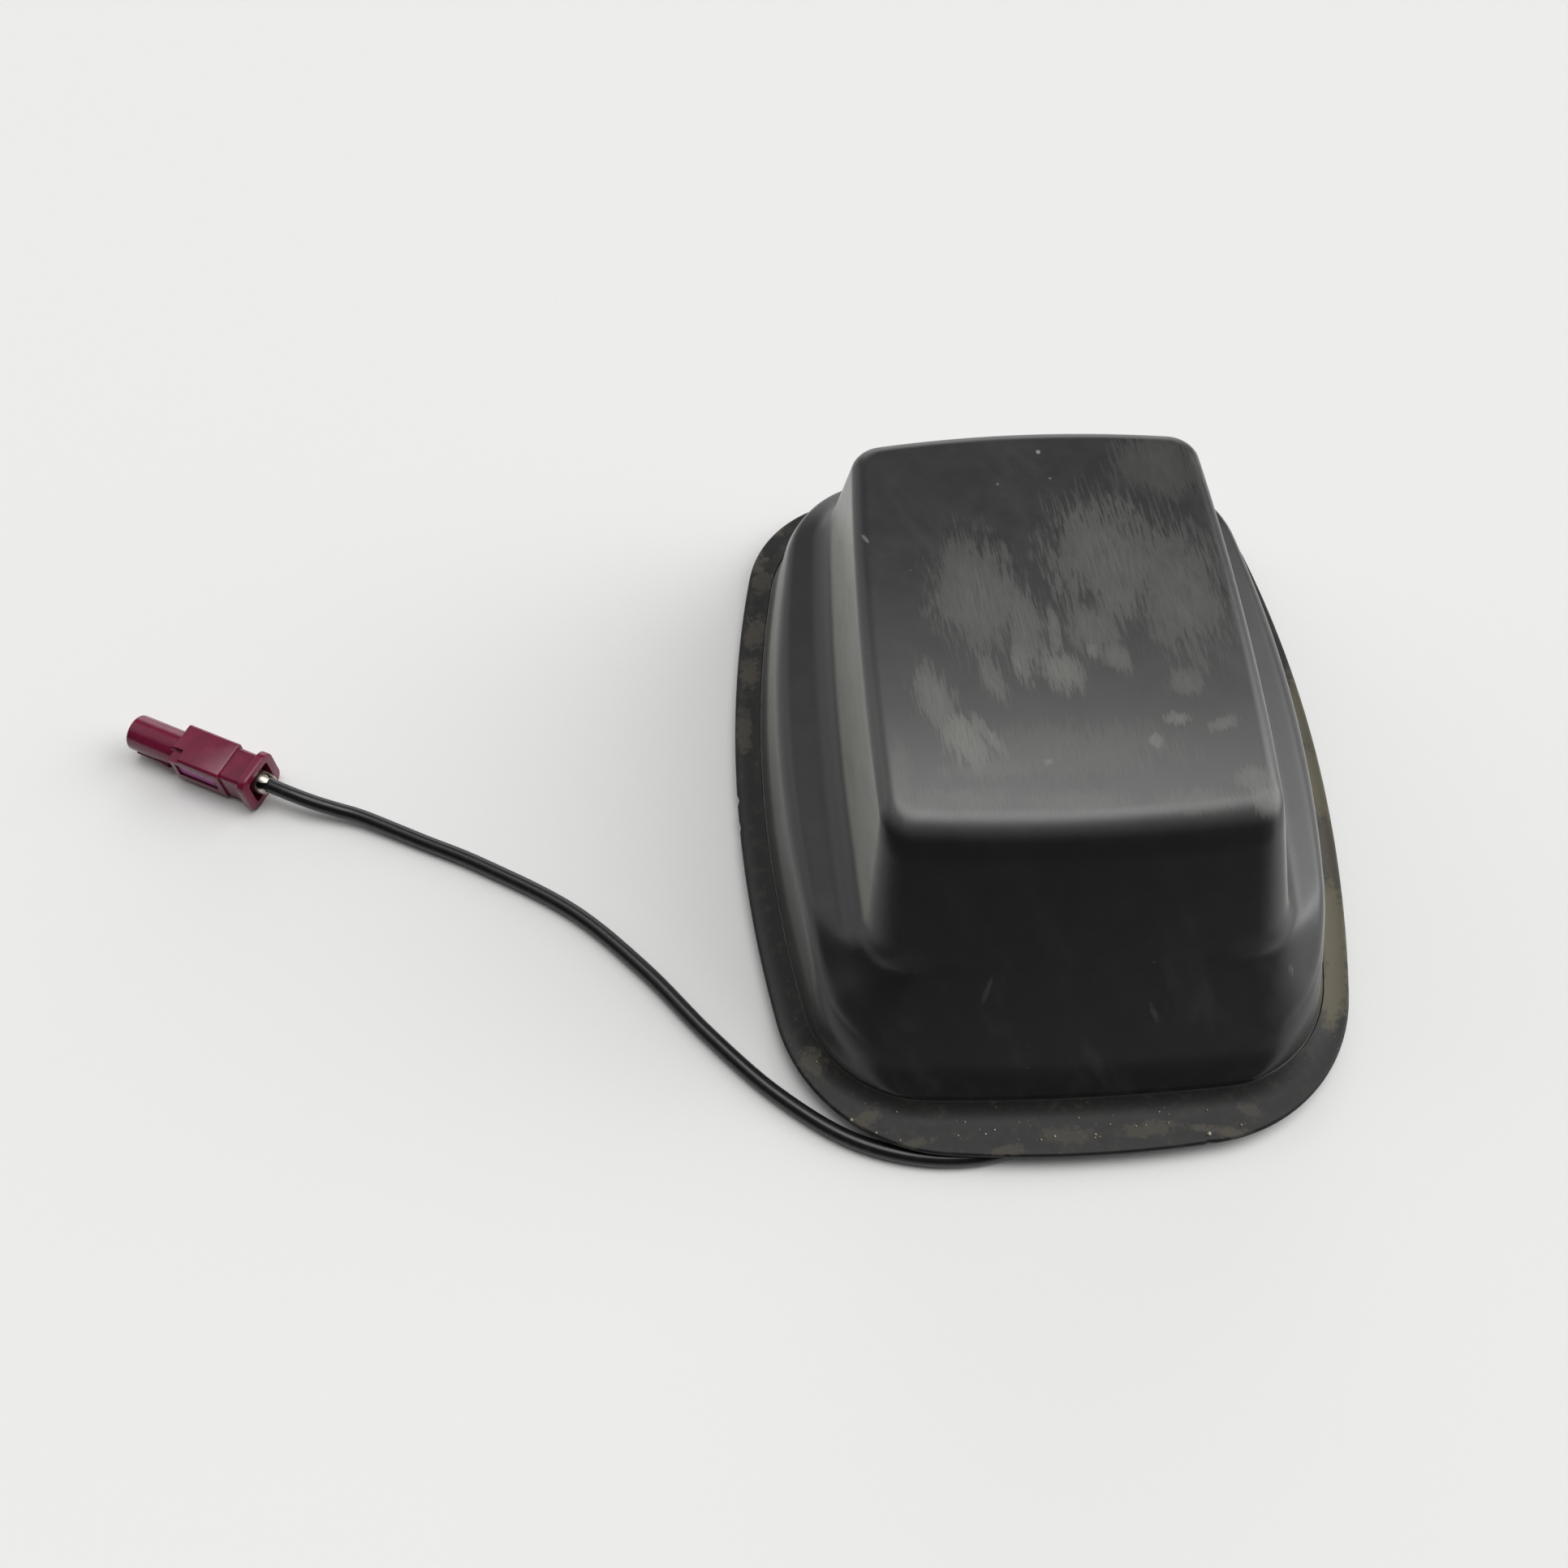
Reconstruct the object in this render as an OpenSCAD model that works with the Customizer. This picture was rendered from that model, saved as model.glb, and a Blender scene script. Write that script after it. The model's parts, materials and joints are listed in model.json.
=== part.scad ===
// Roof antenna pod for a car: a two-tier moulded shell on a rubber rim, a cast base with a
// roof boss, the antenna element and its board inside, and a short coaxial lead that ends in a
// coded connector. Z is up, the pod stands on its boss at z = 0, and its sloping front faces -Y.

/* [Rim] */
// Length of the rubber rim, front to rear
rim_l = 165; // [150:1:190]
// Width of the rubber rim at its widest
rim_w = 127; // [112:1:140]
// Where the pod is widest, measured from the middle of its length
rim_wide_y = 5.2; // [-2:0.2:8]
// Radius of the rim's bowed sides
rim_side_bow = 281; // [240:1:400]
// Radius of the rim's bowed front
rim_front_bow = 243; // [180:1:400]
// Radius of the rim's bowed rear
rim_rear_bow = 240; // [150:1:400]
// Corner radius of the rim at the front
rim_front_corner = 36; // [28:1:42]
// Corner radius of the rim at the rear
rim_rear_corner = 27; // [20:1:36]
// Height of the rim's underside above the ground
rim_lift = 3.6; // [3.4:0.1:6]
// Thickness of the rim where the shell stands on it
rim_t = 1.8; // [1.4:0.1:3]
// Thickness of the rim at its outer edge
rim_edge_t = 1.3; // [0.9:0.1:1.6]
// How far the rim runs in under the base plate
rim_tuck = 3.4; // [2:0.1:4]
// Height of the rim's rise against the shell's foot
rise_h = 1; // [0.4:0.1:1.6]
// Width of the rim's rise against the shell's foot
rise_w = 4; // [2:0.1:4.6]
// Gap between the rim's rise and the shell's foot
rise_gap = 0.1; // [0.05:0.05:0.3]

/* [Shell] */
// Width of rim left showing at the sides
land_side = 6.5; // [4:0.5:9]
// Width of rim left showing at the front
land_front = 11.8; // [8:0.2:16]
// Width of rim left showing at the rear
land_rear = 7; // [5:0.5:12]
// Height of the flat top above the rim
shell_h = 44.2; // [38:0.5:54]
// Wall thickness of the shell
wall_t = 2.6; // [1.8:0.1:3.2]
// Height of the lower tier above the rim
tier_h = 17.6; // [14:0.2:20]
// Draft of the lower tier's side, in degrees
riser_draft = 9; // [5:0.5:12]
// Width of the shoulder between the tiers
shoulder_w = 11.5; // [9:0.5:14]
// Width of the shoulder between the tiers at the rear
shoulder_rear = 8.2; // [6:0.2:11]
// Rise of the shoulder towards the upper tier
shoulder_rise = 2.6; // [1:0.1:4]
// Draft of the upper tier's walls, in degrees
wall_draft = 11.8; // [8:0.2:14]
// Angle of the sloping front, in degrees
front_slope = 51.5; // [46:0.5:58]
// Rounding of the lower tier's ridge
ridge_r = 5; // [3:0.5:7]
// Rounding where the shoulder meets the upper tier
fillet_r = 7; // [4:0.5:8]
// Rounding of the flat top's side and rear edges
top_edge_r = 3.5; // [2:0.5:5]
// Rounding of the crest between the top and the front
crest_r = 8; // [5:0.5:12]
// Height over which the lower tier's ridge melts into the sloping front
slope_blend = 2; // [0.5:0.5:4]
// How far the shell's foot flares out over the rim
flare = 1; // [0.4:0.1:1.6]
// Height over which the foot flares, above the rim's rise
flare_h = 4.5; // [3:0.5:6]

/* [Shell outline] */
// Corner radius of the shell's foot at the front
foot_front_corner = 24; // [18:1:34]
// Corner radius of the shell's foot at the rear
foot_rear_corner = 24; // [18:1:28]
// Corner radius of the upper tier where it leaves the shoulder
upper_corner = 9; // [7:0.5:12]
// Loss of corner radius for each millimetre of draft above the shoulder
corner_loss = 0.55; // [0.3:0.05:0.6]
// Radius of the foot's bowed sides
foot_side_bow = 273; // [230:1:350]
// Radius of the foot's bowed front
foot_front_bow = 480; // [200:5:700]
// Radius of the foot's bowed rear
foot_rear_bow = 230; // [140:1:400]
// Radius of the upper tier's bowed sides
upper_side_bow = 700; // [500:10:900]
// Radius of the upper tier's bowed front
upper_front_bow = 320; // [220:10:500]
// Radius of the upper tier's bowed rear
upper_rear_bow = 240; // [180:10:400]

/* [Base] */
// Thickness of the base plate
plate_t = 2.2; // [1.8:0.1:2.6]
// Gap between the base plate and the shell around it
plate_gap = 0.3; // [0.2:0.1:0.8]
// Width of the boss that stands on the roof
boss_w = 50; // [46:1:58]
// Length of the boss that stands on the roof
boss_l = 44; // [38:1:48]
// Corner radius of the boss
boss_corner = 8; // [4:1:12]
// Height of the posts that carry the board, above the plate
standoff_h = 5.4; // [4:0.2:8]
// Diameter of the posts that carry the board
standoff_d = 7; // [6:0.5:9]
// Outer width of the foam seal round the boss
seal_w = 80; // [72:1:82]
// Outer length of the foam seal round the boss
seal_l = 104; // [98:1:110]
// Width of the foam seal's band
seal_band = 7; // [4:0.5:8]
// Outer corner radius of the foam seal
seal_corner = 16; // [10:1:20]
// Diameter of the brass insert
insert_d = 12; // [10:0.5:13]
// Wall diameter of the insert's thread
thread_d = 6.8; // [5:0.1:7.5]
// Diameter of the insert's flange
insert_flange_d = 17; // [15:0.5:20]
// Thickness of the insert's flange
insert_flange_t = 1.4; // [1:0.1:2]
// Width of the well in the boss where the lead turns up
well_w = 8; // [6:0.5:9]
// Thickness of the boss left in front of the well
well_wall = 2.4; // [1.8:0.1:3]
// Thickness of the boss left under the well
well_floor = 0.9; // [0.6:0.1:1.1]
// Length of the well
well_l = 26; // [22:1:28]

/* [Screws] */
// Diameter of the screws
screw_d = 2.9; // [2.5:0.1:3.2]
// Head diameter of the screws
screw_head_d = 5.6; // [5:0.1:6.2]
// Height of a pan head
pan_h = 2; // [1.5:0.1:2.4]
// Height of a countersunk head
sink_h = 1.5; // [1.2:0.1:1.7]
// Gap round a screw in its hole
screw_gap = 0.1; // [0.05:0.05:0.2]
// How far the base screws reach into the shell
base_screw_bite = 9; // [6:0.5:11]
// Diameter of the shell's screw posts
post_d = 8; // [7:0.5:9]
// Distance of the screw posts from the shell's outer foot
post_inset = 9.4; // [9:0.1:11]
// Spacing of the screw posts along the pod
post_pitch = 43; // [38:1:45]
// Middle screw post, measured from the middle of the pod
post_y = 10; // [4:1:12]

/* [Board] */
// Width of the circuit board
board_w = 68; // [64:1:74]
// Length of the circuit board
board_l = 100; // [94:1:102]
// Thickness of the circuit board
board_t = 1.6; // [1:0.1:2]
// Corner radius of the circuit board
board_corner = 5; // [3:0.5:7]
// Distance of the board's screws from its edges
board_screw_in = 6; // [5:0.5:7]
// Width of the slot for the lead
slot_w = 5; // [4.4:0.1:6]
// Length of the slot for the lead
slot_l = 14; // [13:0.5:16]
// Near end of the slot, ahead of the pod's middle
slot_front = 4; // [3:0.5:5]
// Width of the screening can
can_w = 22; // [18:1:24]
// Length of the screening can
can_l = 34; // [24:1:36]
// Height of the screening can
can_h = 4.4; // [3:0.2:6]
// Wall of the screening can
can_t = 0.4; // [0.3:0.1:0.6]
// Middle of the screening can, left of the pod's middle
can_x = 10; // [9:0.5:11]
// Middle of the screening can, ahead of the pod's middle
can_y = 20; // [18:1:24]
// Diameter of the can's vent holes
vent_d = 2.2; // [1:0.1:3]
// Spacing of the can's vent holes
vent_pitch = 5; // [4:0.5:6]

/* [Element] */
// Width of the antenna element's top sheet
element_w = 60; // [52:1:62]
// Length of the antenna element's top sheet
element_l = 68; // [60:1:70]
// Middle of the element, behind the pod's middle
element_y = 8; // [4:0.5:10]
// Height of the element above the board
element_h = 23; // [19:0.5:25]
// Thickness of the element's sheet
sheet_t = 0.6; // [0.4:0.1:0.8]
// Width of the element's legs
leg_w = 6; // [4:0.5:8]
// Length of a leg's soldered foot
leg_foot = 3; // [2:0.5:4]
// Spacing of the element's two earth legs
leg_pitch = 40; // [30:1:46]
// Width of the element's two slots
gap_w = 3; // [2:0.5:4]
// Length of the element's two slots
gap_l = 40; // [28:1:44]
// Spacing of the element's two slots
gap_pitch = 24; // [18:1:28]
// Width of the carrier's band
frame_band = 4; // [3:0.5:5]
// Height of the carrier's band
frame_h = 3; // [2:0.5:4]
// Diameter of the carrier's legs
frame_leg_d = 6; // [5:0.5:7]
// Diameter of the pegs through the element
peg_d = 3; // [2:0.5:3.5]
// Height of the pegs above the element
peg_h = 1; // [0.6:0.1:2]

/* [Lead] */
// Diameter of the lead
lead_d = 3.2; // [2.6:0.1:3.4]
// Where the lead leaves the boss, right of the pod's middle
exit_x = 14; // [13:0.5:16]
// Height of the lead where it leaves the boss
exit_z = 2.9; // [2.8:0.1:3.2]
// Diameter of the grommet in the boss
grommet_d = 4.6; // [4.4:0.1:4.8]
// Diameter of the grommet's inner flange
grommet_flange_d = 6; // [5.2:0.2:6.4]
// Thickness of the grommet's flange
grommet_flange_t = 0.8; // [0.6:0.1:1.2]
// Thickness of the clip over the lead
clip_t = 0.5; // [0.4:0.1:0.8]
// Length of the clip along the lead
clip_l = 6; // [4:0.5:8]
// Width of each foot of the clip
clip_foot = 3; // [2:0.5:4]
// Middle of the clip, behind the pod's middle
clip_y = 20; // [18:0.5:22]
// Diameter of the bared core
core_d = 0.9; // [0.6:0.1:1.2]
// Length of the bared core
core_l = 4; // [2:0.5:5]

/* [Connector] */
// Where the tip of the nose lies, left of the pod's middle
tip_x = 194.4; // [185:0.1:200]
// Where the tip of the nose lies, behind the pod's middle
tip_y = 22; // [12:0.1:26]
// Turn of the connector, clockwise from above, in degrees
connector_turn = 26.4; // [20:0.2:30]
// Height of the connector's axis
axis_z = 5.3; // [5:0.1:6]
// Diameter of the nose
nose_d = 8; // [7.6:0.1:8.6]
// Length of the nose
nose_l = 12.2; // [11:0.1:14]
// Bore of the nose
nose_bore = 6.4; // [6:0.1:6.6]
// Depth of the nose's bore
nose_depth = 9; // [7:0.5:10]
// Length of the body
body_l = 12.8; // [11:0.1:14]
// Width of the body
body_w = 9.4; // [9:0.1:10.4]
// Height of the body
body_h = 9; // [8.6:0.1:10]
// Length of the neck
neck_l = 5.2; // [4:0.1:6]
// Width of the neck
neck_w = 8.4; // [8:0.1:9]
// Height of the neck
neck_h = 8; // [7.8:0.1:8.6]
// Thickness of the rear collar
collar_l = 1.8; // [1.2:0.1:2]
// Width of the rear collar
collar_w = 10.8; // [10.2:0.1:12]
// Height of the rear collar
collar_h = 10.6; // [10:0.1:12]
// Corner radius of the rear collar
collar_corner = 2.4; // [1.5:0.1:3]
// Width and height of the pocket in the collar
pocket_w = 6.8; // [6.4:0.1:7]
// Depth of the pocket in the collar
pocket_l = 5.6; // [4:0.1:6]
// Thickness of the guide blades under the nose
blade_t = 0.6; // [0.5:0.1:1]
// Height of the guide blades under the nose
blade_h = 0.7; // [0.5:0.1:0.8]
// How far the guide blades stop short of the tip
blade_back = 0.8; // [0.5:0.1:3]
// Turn of the catch ramp round the nose, in degrees
ramp_turn = 116; // [110:1:120]
// Length of the catch ramp
ramp_l = 4.4; // [3:0.1:5]
// Width of the catch ramp
ramp_w = 1.6; // [1.2:0.1:2]
// Height of the catch ramp
ramp_h = 0.6; // [0.4:0.1:0.8]
// How far the catch ramp stops short of the body
ramp_back = 2; // [1:0.1:3]
// Length of the window in the body's side
window_l = 10; // [8:0.1:10.6]
// Height of the window in the body's side
window_h = 4.2; // [4:0.1:5]
// Height of the window's middle above the axis
window_rise = 0.2; // [0:0.1:0.5]
// How far the window starts behind the body's front
window_back = 1.3; // [1:0.1:1.8]
// Depth of the window in the body's side
window_d = 1.8; // [1.4:0.1:1.8]
// Length of the notch in the body's near top corner
notch_l = 2.6; // [2:0.1:3]
// Width of the notch in the body's near top corner
notch_w = 3; // [2:0.1:3.4]
// Depth of the notch in the body's near top corner
notch_h = 1.2; // [0.8:0.1:1.6]
// How far the lock sits back in its window
lock_back = 0.4; // [0.2:0.1:0.6]
// Gap round the lock in its window
lock_gap = 0.15; // [0.1:0.05:0.3]

/* [Contacts] */
// Outer diameter of the contact sleeve
sleeve_d = 4.6; // [4.2:0.1:4.8]
// Wall of the contact sleeve
sleeve_t = 0.4; // [0.3:0.1:0.5]
// How far the contact sleeve sits back in the nose
sleeve_back = 1; // [0.6:0.1:2]
// Diameter of the centre contact
pin_d = 1; // [0.8:0.1:1.2]
// Outer diameter of the crimp ferrule
ferrule_d = 5; // [4.8:0.1:5.4]
// Length of the crimp ferrule
ferrule_l = 10; // [9:0.1:11]
// How far the ferrule's claws stand out behind the collar
claw_l = 2.2; // [1.5:0.1:3.5]
// Width of the gaps between the ferrule's claws
claw_gap = 1.6; // [1:0.1:2]
// Gap between the contacts and their bores
contact_gap = 0.1; // [0.05:0.05:0.15]

/* [Hidden] */
$fn = 48;

// Cutters run this far past the faces they open
past = 1;

// Heights
foot_z = rim_lift + rim_t;
plate_z = foot_z + plate_t;
board_z = plate_z + standoff_h;
board_top = board_z + board_t;
element_z = board_top + element_h;
top_z = foot_z + shell_h;

// Half widths and ends of the shell at its foot
foot_x = rim_w / 2 - land_side;
foot_front = land_front - rim_l / 2;
foot_rear = rim_l / 2 - land_rear;

// Corners of the shell's side section, from the foot to the flat top
ridge_x = foot_x - tier_h * tan(riser_draft);
ridge_z = foot_z + tier_h;
shoulder_x = ridge_x - shoulder_w;
shoulder_z = ridge_z + shoulder_rise;
upper_x = shoulder_x - (top_z - shoulder_z) * tan(wall_draft);

// Stations along the connector's axis, from the nose's tip
body_end = nose_l + body_l;
neck_end = body_end + neck_l;
collar_end = neck_end + collar_l;
claw_end = collar_end + claw_l;
ferrule_x = claw_end - ferrule_l;
window_x = nose_l + window_back;

// Points along each quarter of an outline: side, corner and end
fine = [4, 8, 4];
coarse = [2, 4, 2];

function mix(a, b, t) = a + (b - a) * t;
function clamp(v, low, high) = min(max(v, low), high);
function unit(v) = v / norm(v);

// Points on an arc about m, without its last point
function arc(m, r, from, to, n) =
    [for (i = [0:n - 1]) let (a = mix(from, to, i / n)) m + r * [cos(a), sin(a)]];

// A quarter outline from (half_w, 0) to (0, reach): a bowed side, a round corner and a bowed end,
// each tangent to the next
function quarter(half_w, reach, side_bow, end_bow, corner, n) =
    let (
        side_m = [half_w - side_bow, 0],
        end_m = [0, reach - end_bow],
        span = norm(end_m - side_m),
        side_r = side_bow - corner,
        end_r = end_bow - corner,
        along = (span * span + side_r * side_r - end_r * end_r) / (2 * span),
        off = sqrt(side_r * side_r - along * along),
        u = unit(end_m - side_m),
        corner_m = side_m + along * u + off * [-u.y, u.x],
        a1 = atan2(corner_m.y - side_m.y, corner_m.x - side_m.x),
        a2 = atan2(corner_m.y - end_m.y, corner_m.x - end_m.x)
    )
    concat(
        arc(side_m, side_bow, 0, a1, n[0]),
        arc(corner_m, corner, a1, a2, n[1]),
        arc(end_m, end_bow, a2, 90, n[2])
    );

function reversed(v) = [for (i = [len(v) - 1:-1:0]) v[i]];
function tail(v) = [for (i = [1:len(v) - 1]) v[i]];

// A closed outline, symmetric left to right. bows is [side, front, rear] and corners is
// [front, rear].
function outline(half_w, front, rear, bows, corners, n) =
    let (
        back = quarter(half_w, rear - rim_wide_y, bows[0], bows[2], corners[1], n),
        fore = quarter(half_w, rim_wide_y - front, bows[0], bows[1], corners[0], n),
        ends = [[0, rear - rim_wide_y], [0, rim_wide_y - front]]
    )
    [for (p = concat(
        back,
        [ends[0]],
        [for (p = reversed(tail(back))) [-p.x, p.y]],
        [for (p = fore) [-p.x, -p.y]],
        [[0, -ends[1].y]],
        [for (p = reversed(tail(fore))) [p.x, -p.y]]
    )) [p.x, p.y + rim_wide_y]];

// The rim's outline, drawn in by a margin
function rim_outline(margin, n) = outline(
    rim_w / 2 - margin, margin - rim_l / 2, rim_l / 2 - margin,
    [rim_side_bow - margin, rim_front_bow - margin, rim_rear_bow - margin],
    [rim_front_corner - margin, rim_rear_corner - margin], n
);

// The shell's foot, drawn in by a margin
function foot_outline(margin, n, front_extra = 0) = outline(
    foot_x - margin, foot_front + margin + front_extra, foot_rear - margin,
    [foot_side_bow - margin, foot_front_bow - margin, foot_rear_bow - margin],
    [foot_front_corner - margin, foot_rear_corner - margin], n
);

// Rounds the corner b between a and c, as n + 1 points
function rounded(a, b, c, r, n) =
    let (
        u = unit(a - b),
        v = unit(c - b),
        half = acos(u * v) / 2,
        m = b + unit(u + v) * r / sin(half),
        s = b + u * r / tan(half) - m,
        e = b + v * r / tan(half) - m,
        from = atan2(s.y, s.x),
        turn = atan2(e.y, e.x) - from,
        sweep = turn > 180 ? turn - 360 : turn < -180 ? turn + 360 : turn
    )
    [for (i = [0:n]) let (a = from + sweep * i / n) m + r * [cos(a), sin(a)]];

// The front's height over y and its reverse, for a skin that lies t inside the outer one
function front_foot(t) = foot_front + t / sin(front_slope);
function front_z(y, t) = foot_z + (y - front_foot(t)) * tan(front_slope);
function front_y(z, t) =
    let (
        top = top_z - t,
        r = crest_r - t,
        crest_y = front_foot(t) + (top - foot_z) / tan(front_slope),
        m = [crest_y + r * tan(front_slope / 2), top - r],
        start = top - r * (1 - cos(front_slope))
    )
    z <= start ? front_foot(t) + (z - foot_z) / tan(front_slope)
               : m.x - sqrt(max(r * r - pow(z - m.y, 2), 0));

// A smooth minimum, blended over k
function soft_min(a, b, k) =
    let (h = k > 0 ? max(k - abs(a - b), 0) / k : 0) min(a, b) - h * h * k / 4;

// The side section of a skin that lies t inside the outer one, as [half width, height], in two
// runs: up to the shoulder's fillet, and from there to the flat top
function lower_section(t, n) =
    let (
        foot = [foot_x - t, foot_z],
        ridge = [ridge_x - t, ridge_z - t],
        shoulder = [shoulder_x - t, shoulder_z - t],
        top = [upper_x - t, top_z - t]
    )
    concat(
        [foot, mix(foot, ridge, 0.35)],
        rounded(foot, ridge, shoulder, ridge_r - t / 2, n),
        rounded(ridge, shoulder, top, fillet_r, n)
    );
function upper_section(t, n) =
    let (
        shoulder = [shoulder_x - t, shoulder_z - t],
        top = [upper_x - t, top_z - t],
        edge = rounded(shoulder, top, [0, top_z - t], max(top_edge_r - t, 0.6), n)
    )
    concat([mix(shoulder, top, 0.42), mix(shoulder, top, 0.66)], edge);

// One level of the shell: the outline at half width x, whose sides lie at height z and whose
// front is cut back to the slope, blended over k
function level(x, z, front, t, k, n) =
    let (
        share = clamp((ridge_x - t - x) / shoulder_w, 0, 1),
        loss = max(shoulder_x - t - x, 0) * corner_loss,
        bows = mix(
            [foot_side_bow, foot_front_bow, foot_rear_bow],
            [upper_side_bow, upper_front_bow, upper_rear_bow], share
        ),
        corners = [
            max(mix(foot_front_corner - t, upper_corner, share) - loss, 2),
            max(mix(foot_rear_corner - t, upper_corner, share) - loss, 2)
        ],
        rear = foot_rear - (foot_x - x) + share * (shoulder_w - shoulder_rear)
    )
    [for (p = outline(x, front, rear, bows, corners, n))
        let (slope_y = p.y - p.x * p.x / (2 * bows[1]))
        [p.x, p.y, k < 0 ? z : soft_min(z, front_z(slope_y, t), k)]];

// Every level of a skin, from the foot to the middle of the flat top
function skin(t, n, steps) =
    let (
        low = lower_section(t, steps),
        high = upper_section(t, steps),
        join = low[len(low) - 1],
        join_y = front_y(join.y, t),
        run = foot_x - t - join.x
    )
    concat(
        [for (p = low) let (share = (foot_x - t - p.x) / run) level(
            p.x, p.y, min(mix(front_foot(t), join_y, share), front_y(p.y, t)), t,
            min(slope_blend * (1 - share), p.y - foot_z), n
        )],
        [for (p = high) level(p.x, p.y, front_y(p.y, t), t, -1, n)]
    );

// A ring whose points near the foot move out, each across the ring's own run
function flared(ring) =
    let (n = len(ring))
    [for (i = [0:n - 1])
        let (
            run = unit(ring[(i + 1) % n] - ring[(i + n - 1) % n]),
            share = clamp(1 - (ring[i].z - foot_z - rise_h) / flare_h, 0, 1)
        )
        ring[i] + flare * share * share * unit([run.y, -run.x, 0])];

// A closed solid through rings of equal length, from the bottom ring to the top one
module loft(rings) {
    n = len(rings[0]);
    m = len(rings);
    polyhedron(
        points = [for (ring = rings) each ring],
        faces = concat(
            [[for (i = [0:n - 1]) i]],
            [for (j = [0:m - 2], i = [0:n - 1]) let (k = (i + 1) % n)
                each [[j * n + i, (j + 1) * n + k, j * n + k],
                      [j * n + i, (j + 1) * n + i, (j + 1) * n + k]]],
            [[for (i = [n - 1:-1:0]) (m - 1) * n + i]]
        )
    );
}

// A ring-shaped solid whose cross-section runs round through the rings and closes on the first
module hoop(rings) {
    n = len(rings[0]);
    m = len(rings);
    polyhedron(
        points = [for (ring = rings) each ring],
        faces = [for (j = [0:m - 1], i = [0:n - 1]) let (k = (i + 1) % n, l = (j + 1) % m)
            each [[j * n + i, l * n + k, j * n + k], [j * n + i, l * n + i, l * n + k]]]
    );
}

function raised(points, z) = [for (p = points) [p.x, p.y, z]];

// A block with four round upright corners, standing on z = 0
module round_block(w, l, h, r) {
    translate([-w / 2 + r, -l / 2, 0]) cube([w - 2 * r, l, h]);
    translate([-w / 2, -l / 2 + r, 0]) cube([w, l - 2 * r, h]);
    for (x = [-1, 1], y = [-1, 1])
        translate([x * (w / 2 - r), y * (l / 2 - r), 0]) cylinder(h = h, r = r);
}

// A cylinder from one height to another
module rod(d, from, to) {
    translate([0, 0, from]) cylinder(h = to - from, d = d);
}

// Places of the screws into the shell, which follow its bowed sides
function side_x(y) = foot_x - pow(y - rim_wide_y, 2) / (2 * foot_side_bow);
post_places = [for (side = [-1, 1], k = [-1:1])
    let (y = post_y + k * post_pitch) [side * (side_x(y) - post_inset), y, 0]];

module cover() {
    inner = skin(wall_t, coarse, 3);
    color("#2b2b2c") difference() {
        loft([for (ring = skin(0, fine, 4)) flared(ring)]);
        difference() {
            loft(concat([raised(inner[0], foot_z - past)], inner));
            for (p = post_places) translate(p) rod(post_d, plate_z, shoulder_z);
        }
        for (p = post_places)
            translate(p) rod(screw_d + 2 * screw_gap, foot_z, plate_z + base_screw_bite + past);
    }
}

// The rubber rim: an outer lip that thins to its edge, rises in a hollow curve against the
// shell's foot, and runs on as a band under shell and plate
module rim_seal() {
    inner = wall_t + rim_tuck;
    edge = rim_edge_t / 2;
    lip_z = rim_lift + rim_edge_t;
    rise_x = flare + rise_gap;
    color("#262625") hoop([
        raised(rim_outline(edge, fine), rim_lift),
        raised(rim_outline(0.3 * edge, fine), rim_lift + 0.3 * edge),
        raised(rim_outline(0, fine), rim_lift + edge),
        raised(rim_outline(0.3 * edge, fine), rim_lift + 1.7 * edge),
        raised(rim_outline(edge, fine), lip_z),
        for (t = [0:0.25:1])
            raised(foot_outline(-rise_x - rise_w * (1 - t), fine),
                   mix(lip_z, foot_z + rise_h, mix(t * t, t, 0.2))),
        raised(foot_outline(-rise_x, fine), foot_z),
        raised(foot_outline(inner, fine), foot_z),
        raised(foot_outline(inner, fine), rim_lift)
    ]);
}

// Places of the screws that hold the board
board_screw_places = [for (x = [-1, 1], y = [-1, 1])
    [x * (board_w / 2 - board_screw_in), y * (board_l / 2 - board_screw_in), 0]];

module base_plate() {
    front_rise = wall_t / sin(front_slope) - wall_t + plate_t / tan(front_slope);
    side_rise = plate_t * tan(riser_draft);
    color("#8b8e90") difference() {
        union() {
            translate([0, 0, foot_z]) linear_extrude(plate_t)
                polygon(foot_outline(wall_t + plate_gap + side_rise, fine, front_rise));
            round_block(boss_w, boss_l, foot_z, boss_corner);
            for (p = board_screw_places) translate(p) rod(standoff_d, plate_z, board_z);
        }
        rod(insert_d + 2 * contact_gap, -past, plate_z + past);
        translate([exit_x - well_w / 2, well_wall - boss_l / 2, well_floor])
            cube([well_w, well_l, plate_z]);
        translate([exit_x, well_wall + past - boss_l / 2, exit_z]) rotate([90, 0, 0])
            rod(grommet_d, 0, well_wall + 2 * past);
        for (p = board_screw_places)
            translate(p) rod(screw_d + 2 * screw_gap, foot_z + past, board_z + past);
        for (p = post_places) translate(p) {
            rod(screw_d + 2 * screw_gap, foot_z - past, plate_z + past);
            translate([0, 0, foot_z])
                cylinder(h = sink_h, d1 = screw_head_d, d2 = screw_d + 2 * screw_gap);
        }
    }
}

module roof_seal() {
    color("#3a3a3a") translate([0, 0, rim_lift]) difference() {
        round_block(seal_w, seal_l, rim_t, seal_corner);
        translate([0, 0, -past]) round_block(
            seal_w - 2 * seal_band, seal_l - 2 * seal_band, rim_t + 2 * past,
            seal_corner - seal_band
        );
    }
}

module threaded_insert() {
    top = plate_z + insert_flange_t;
    color("#c9a24d") difference() {
        union() {
            rod(insert_d, 0, plate_z);
            rod(insert_flange_d, plate_z, top);
        }
        rod(thread_d, -past, top + past);
    }
}

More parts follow.
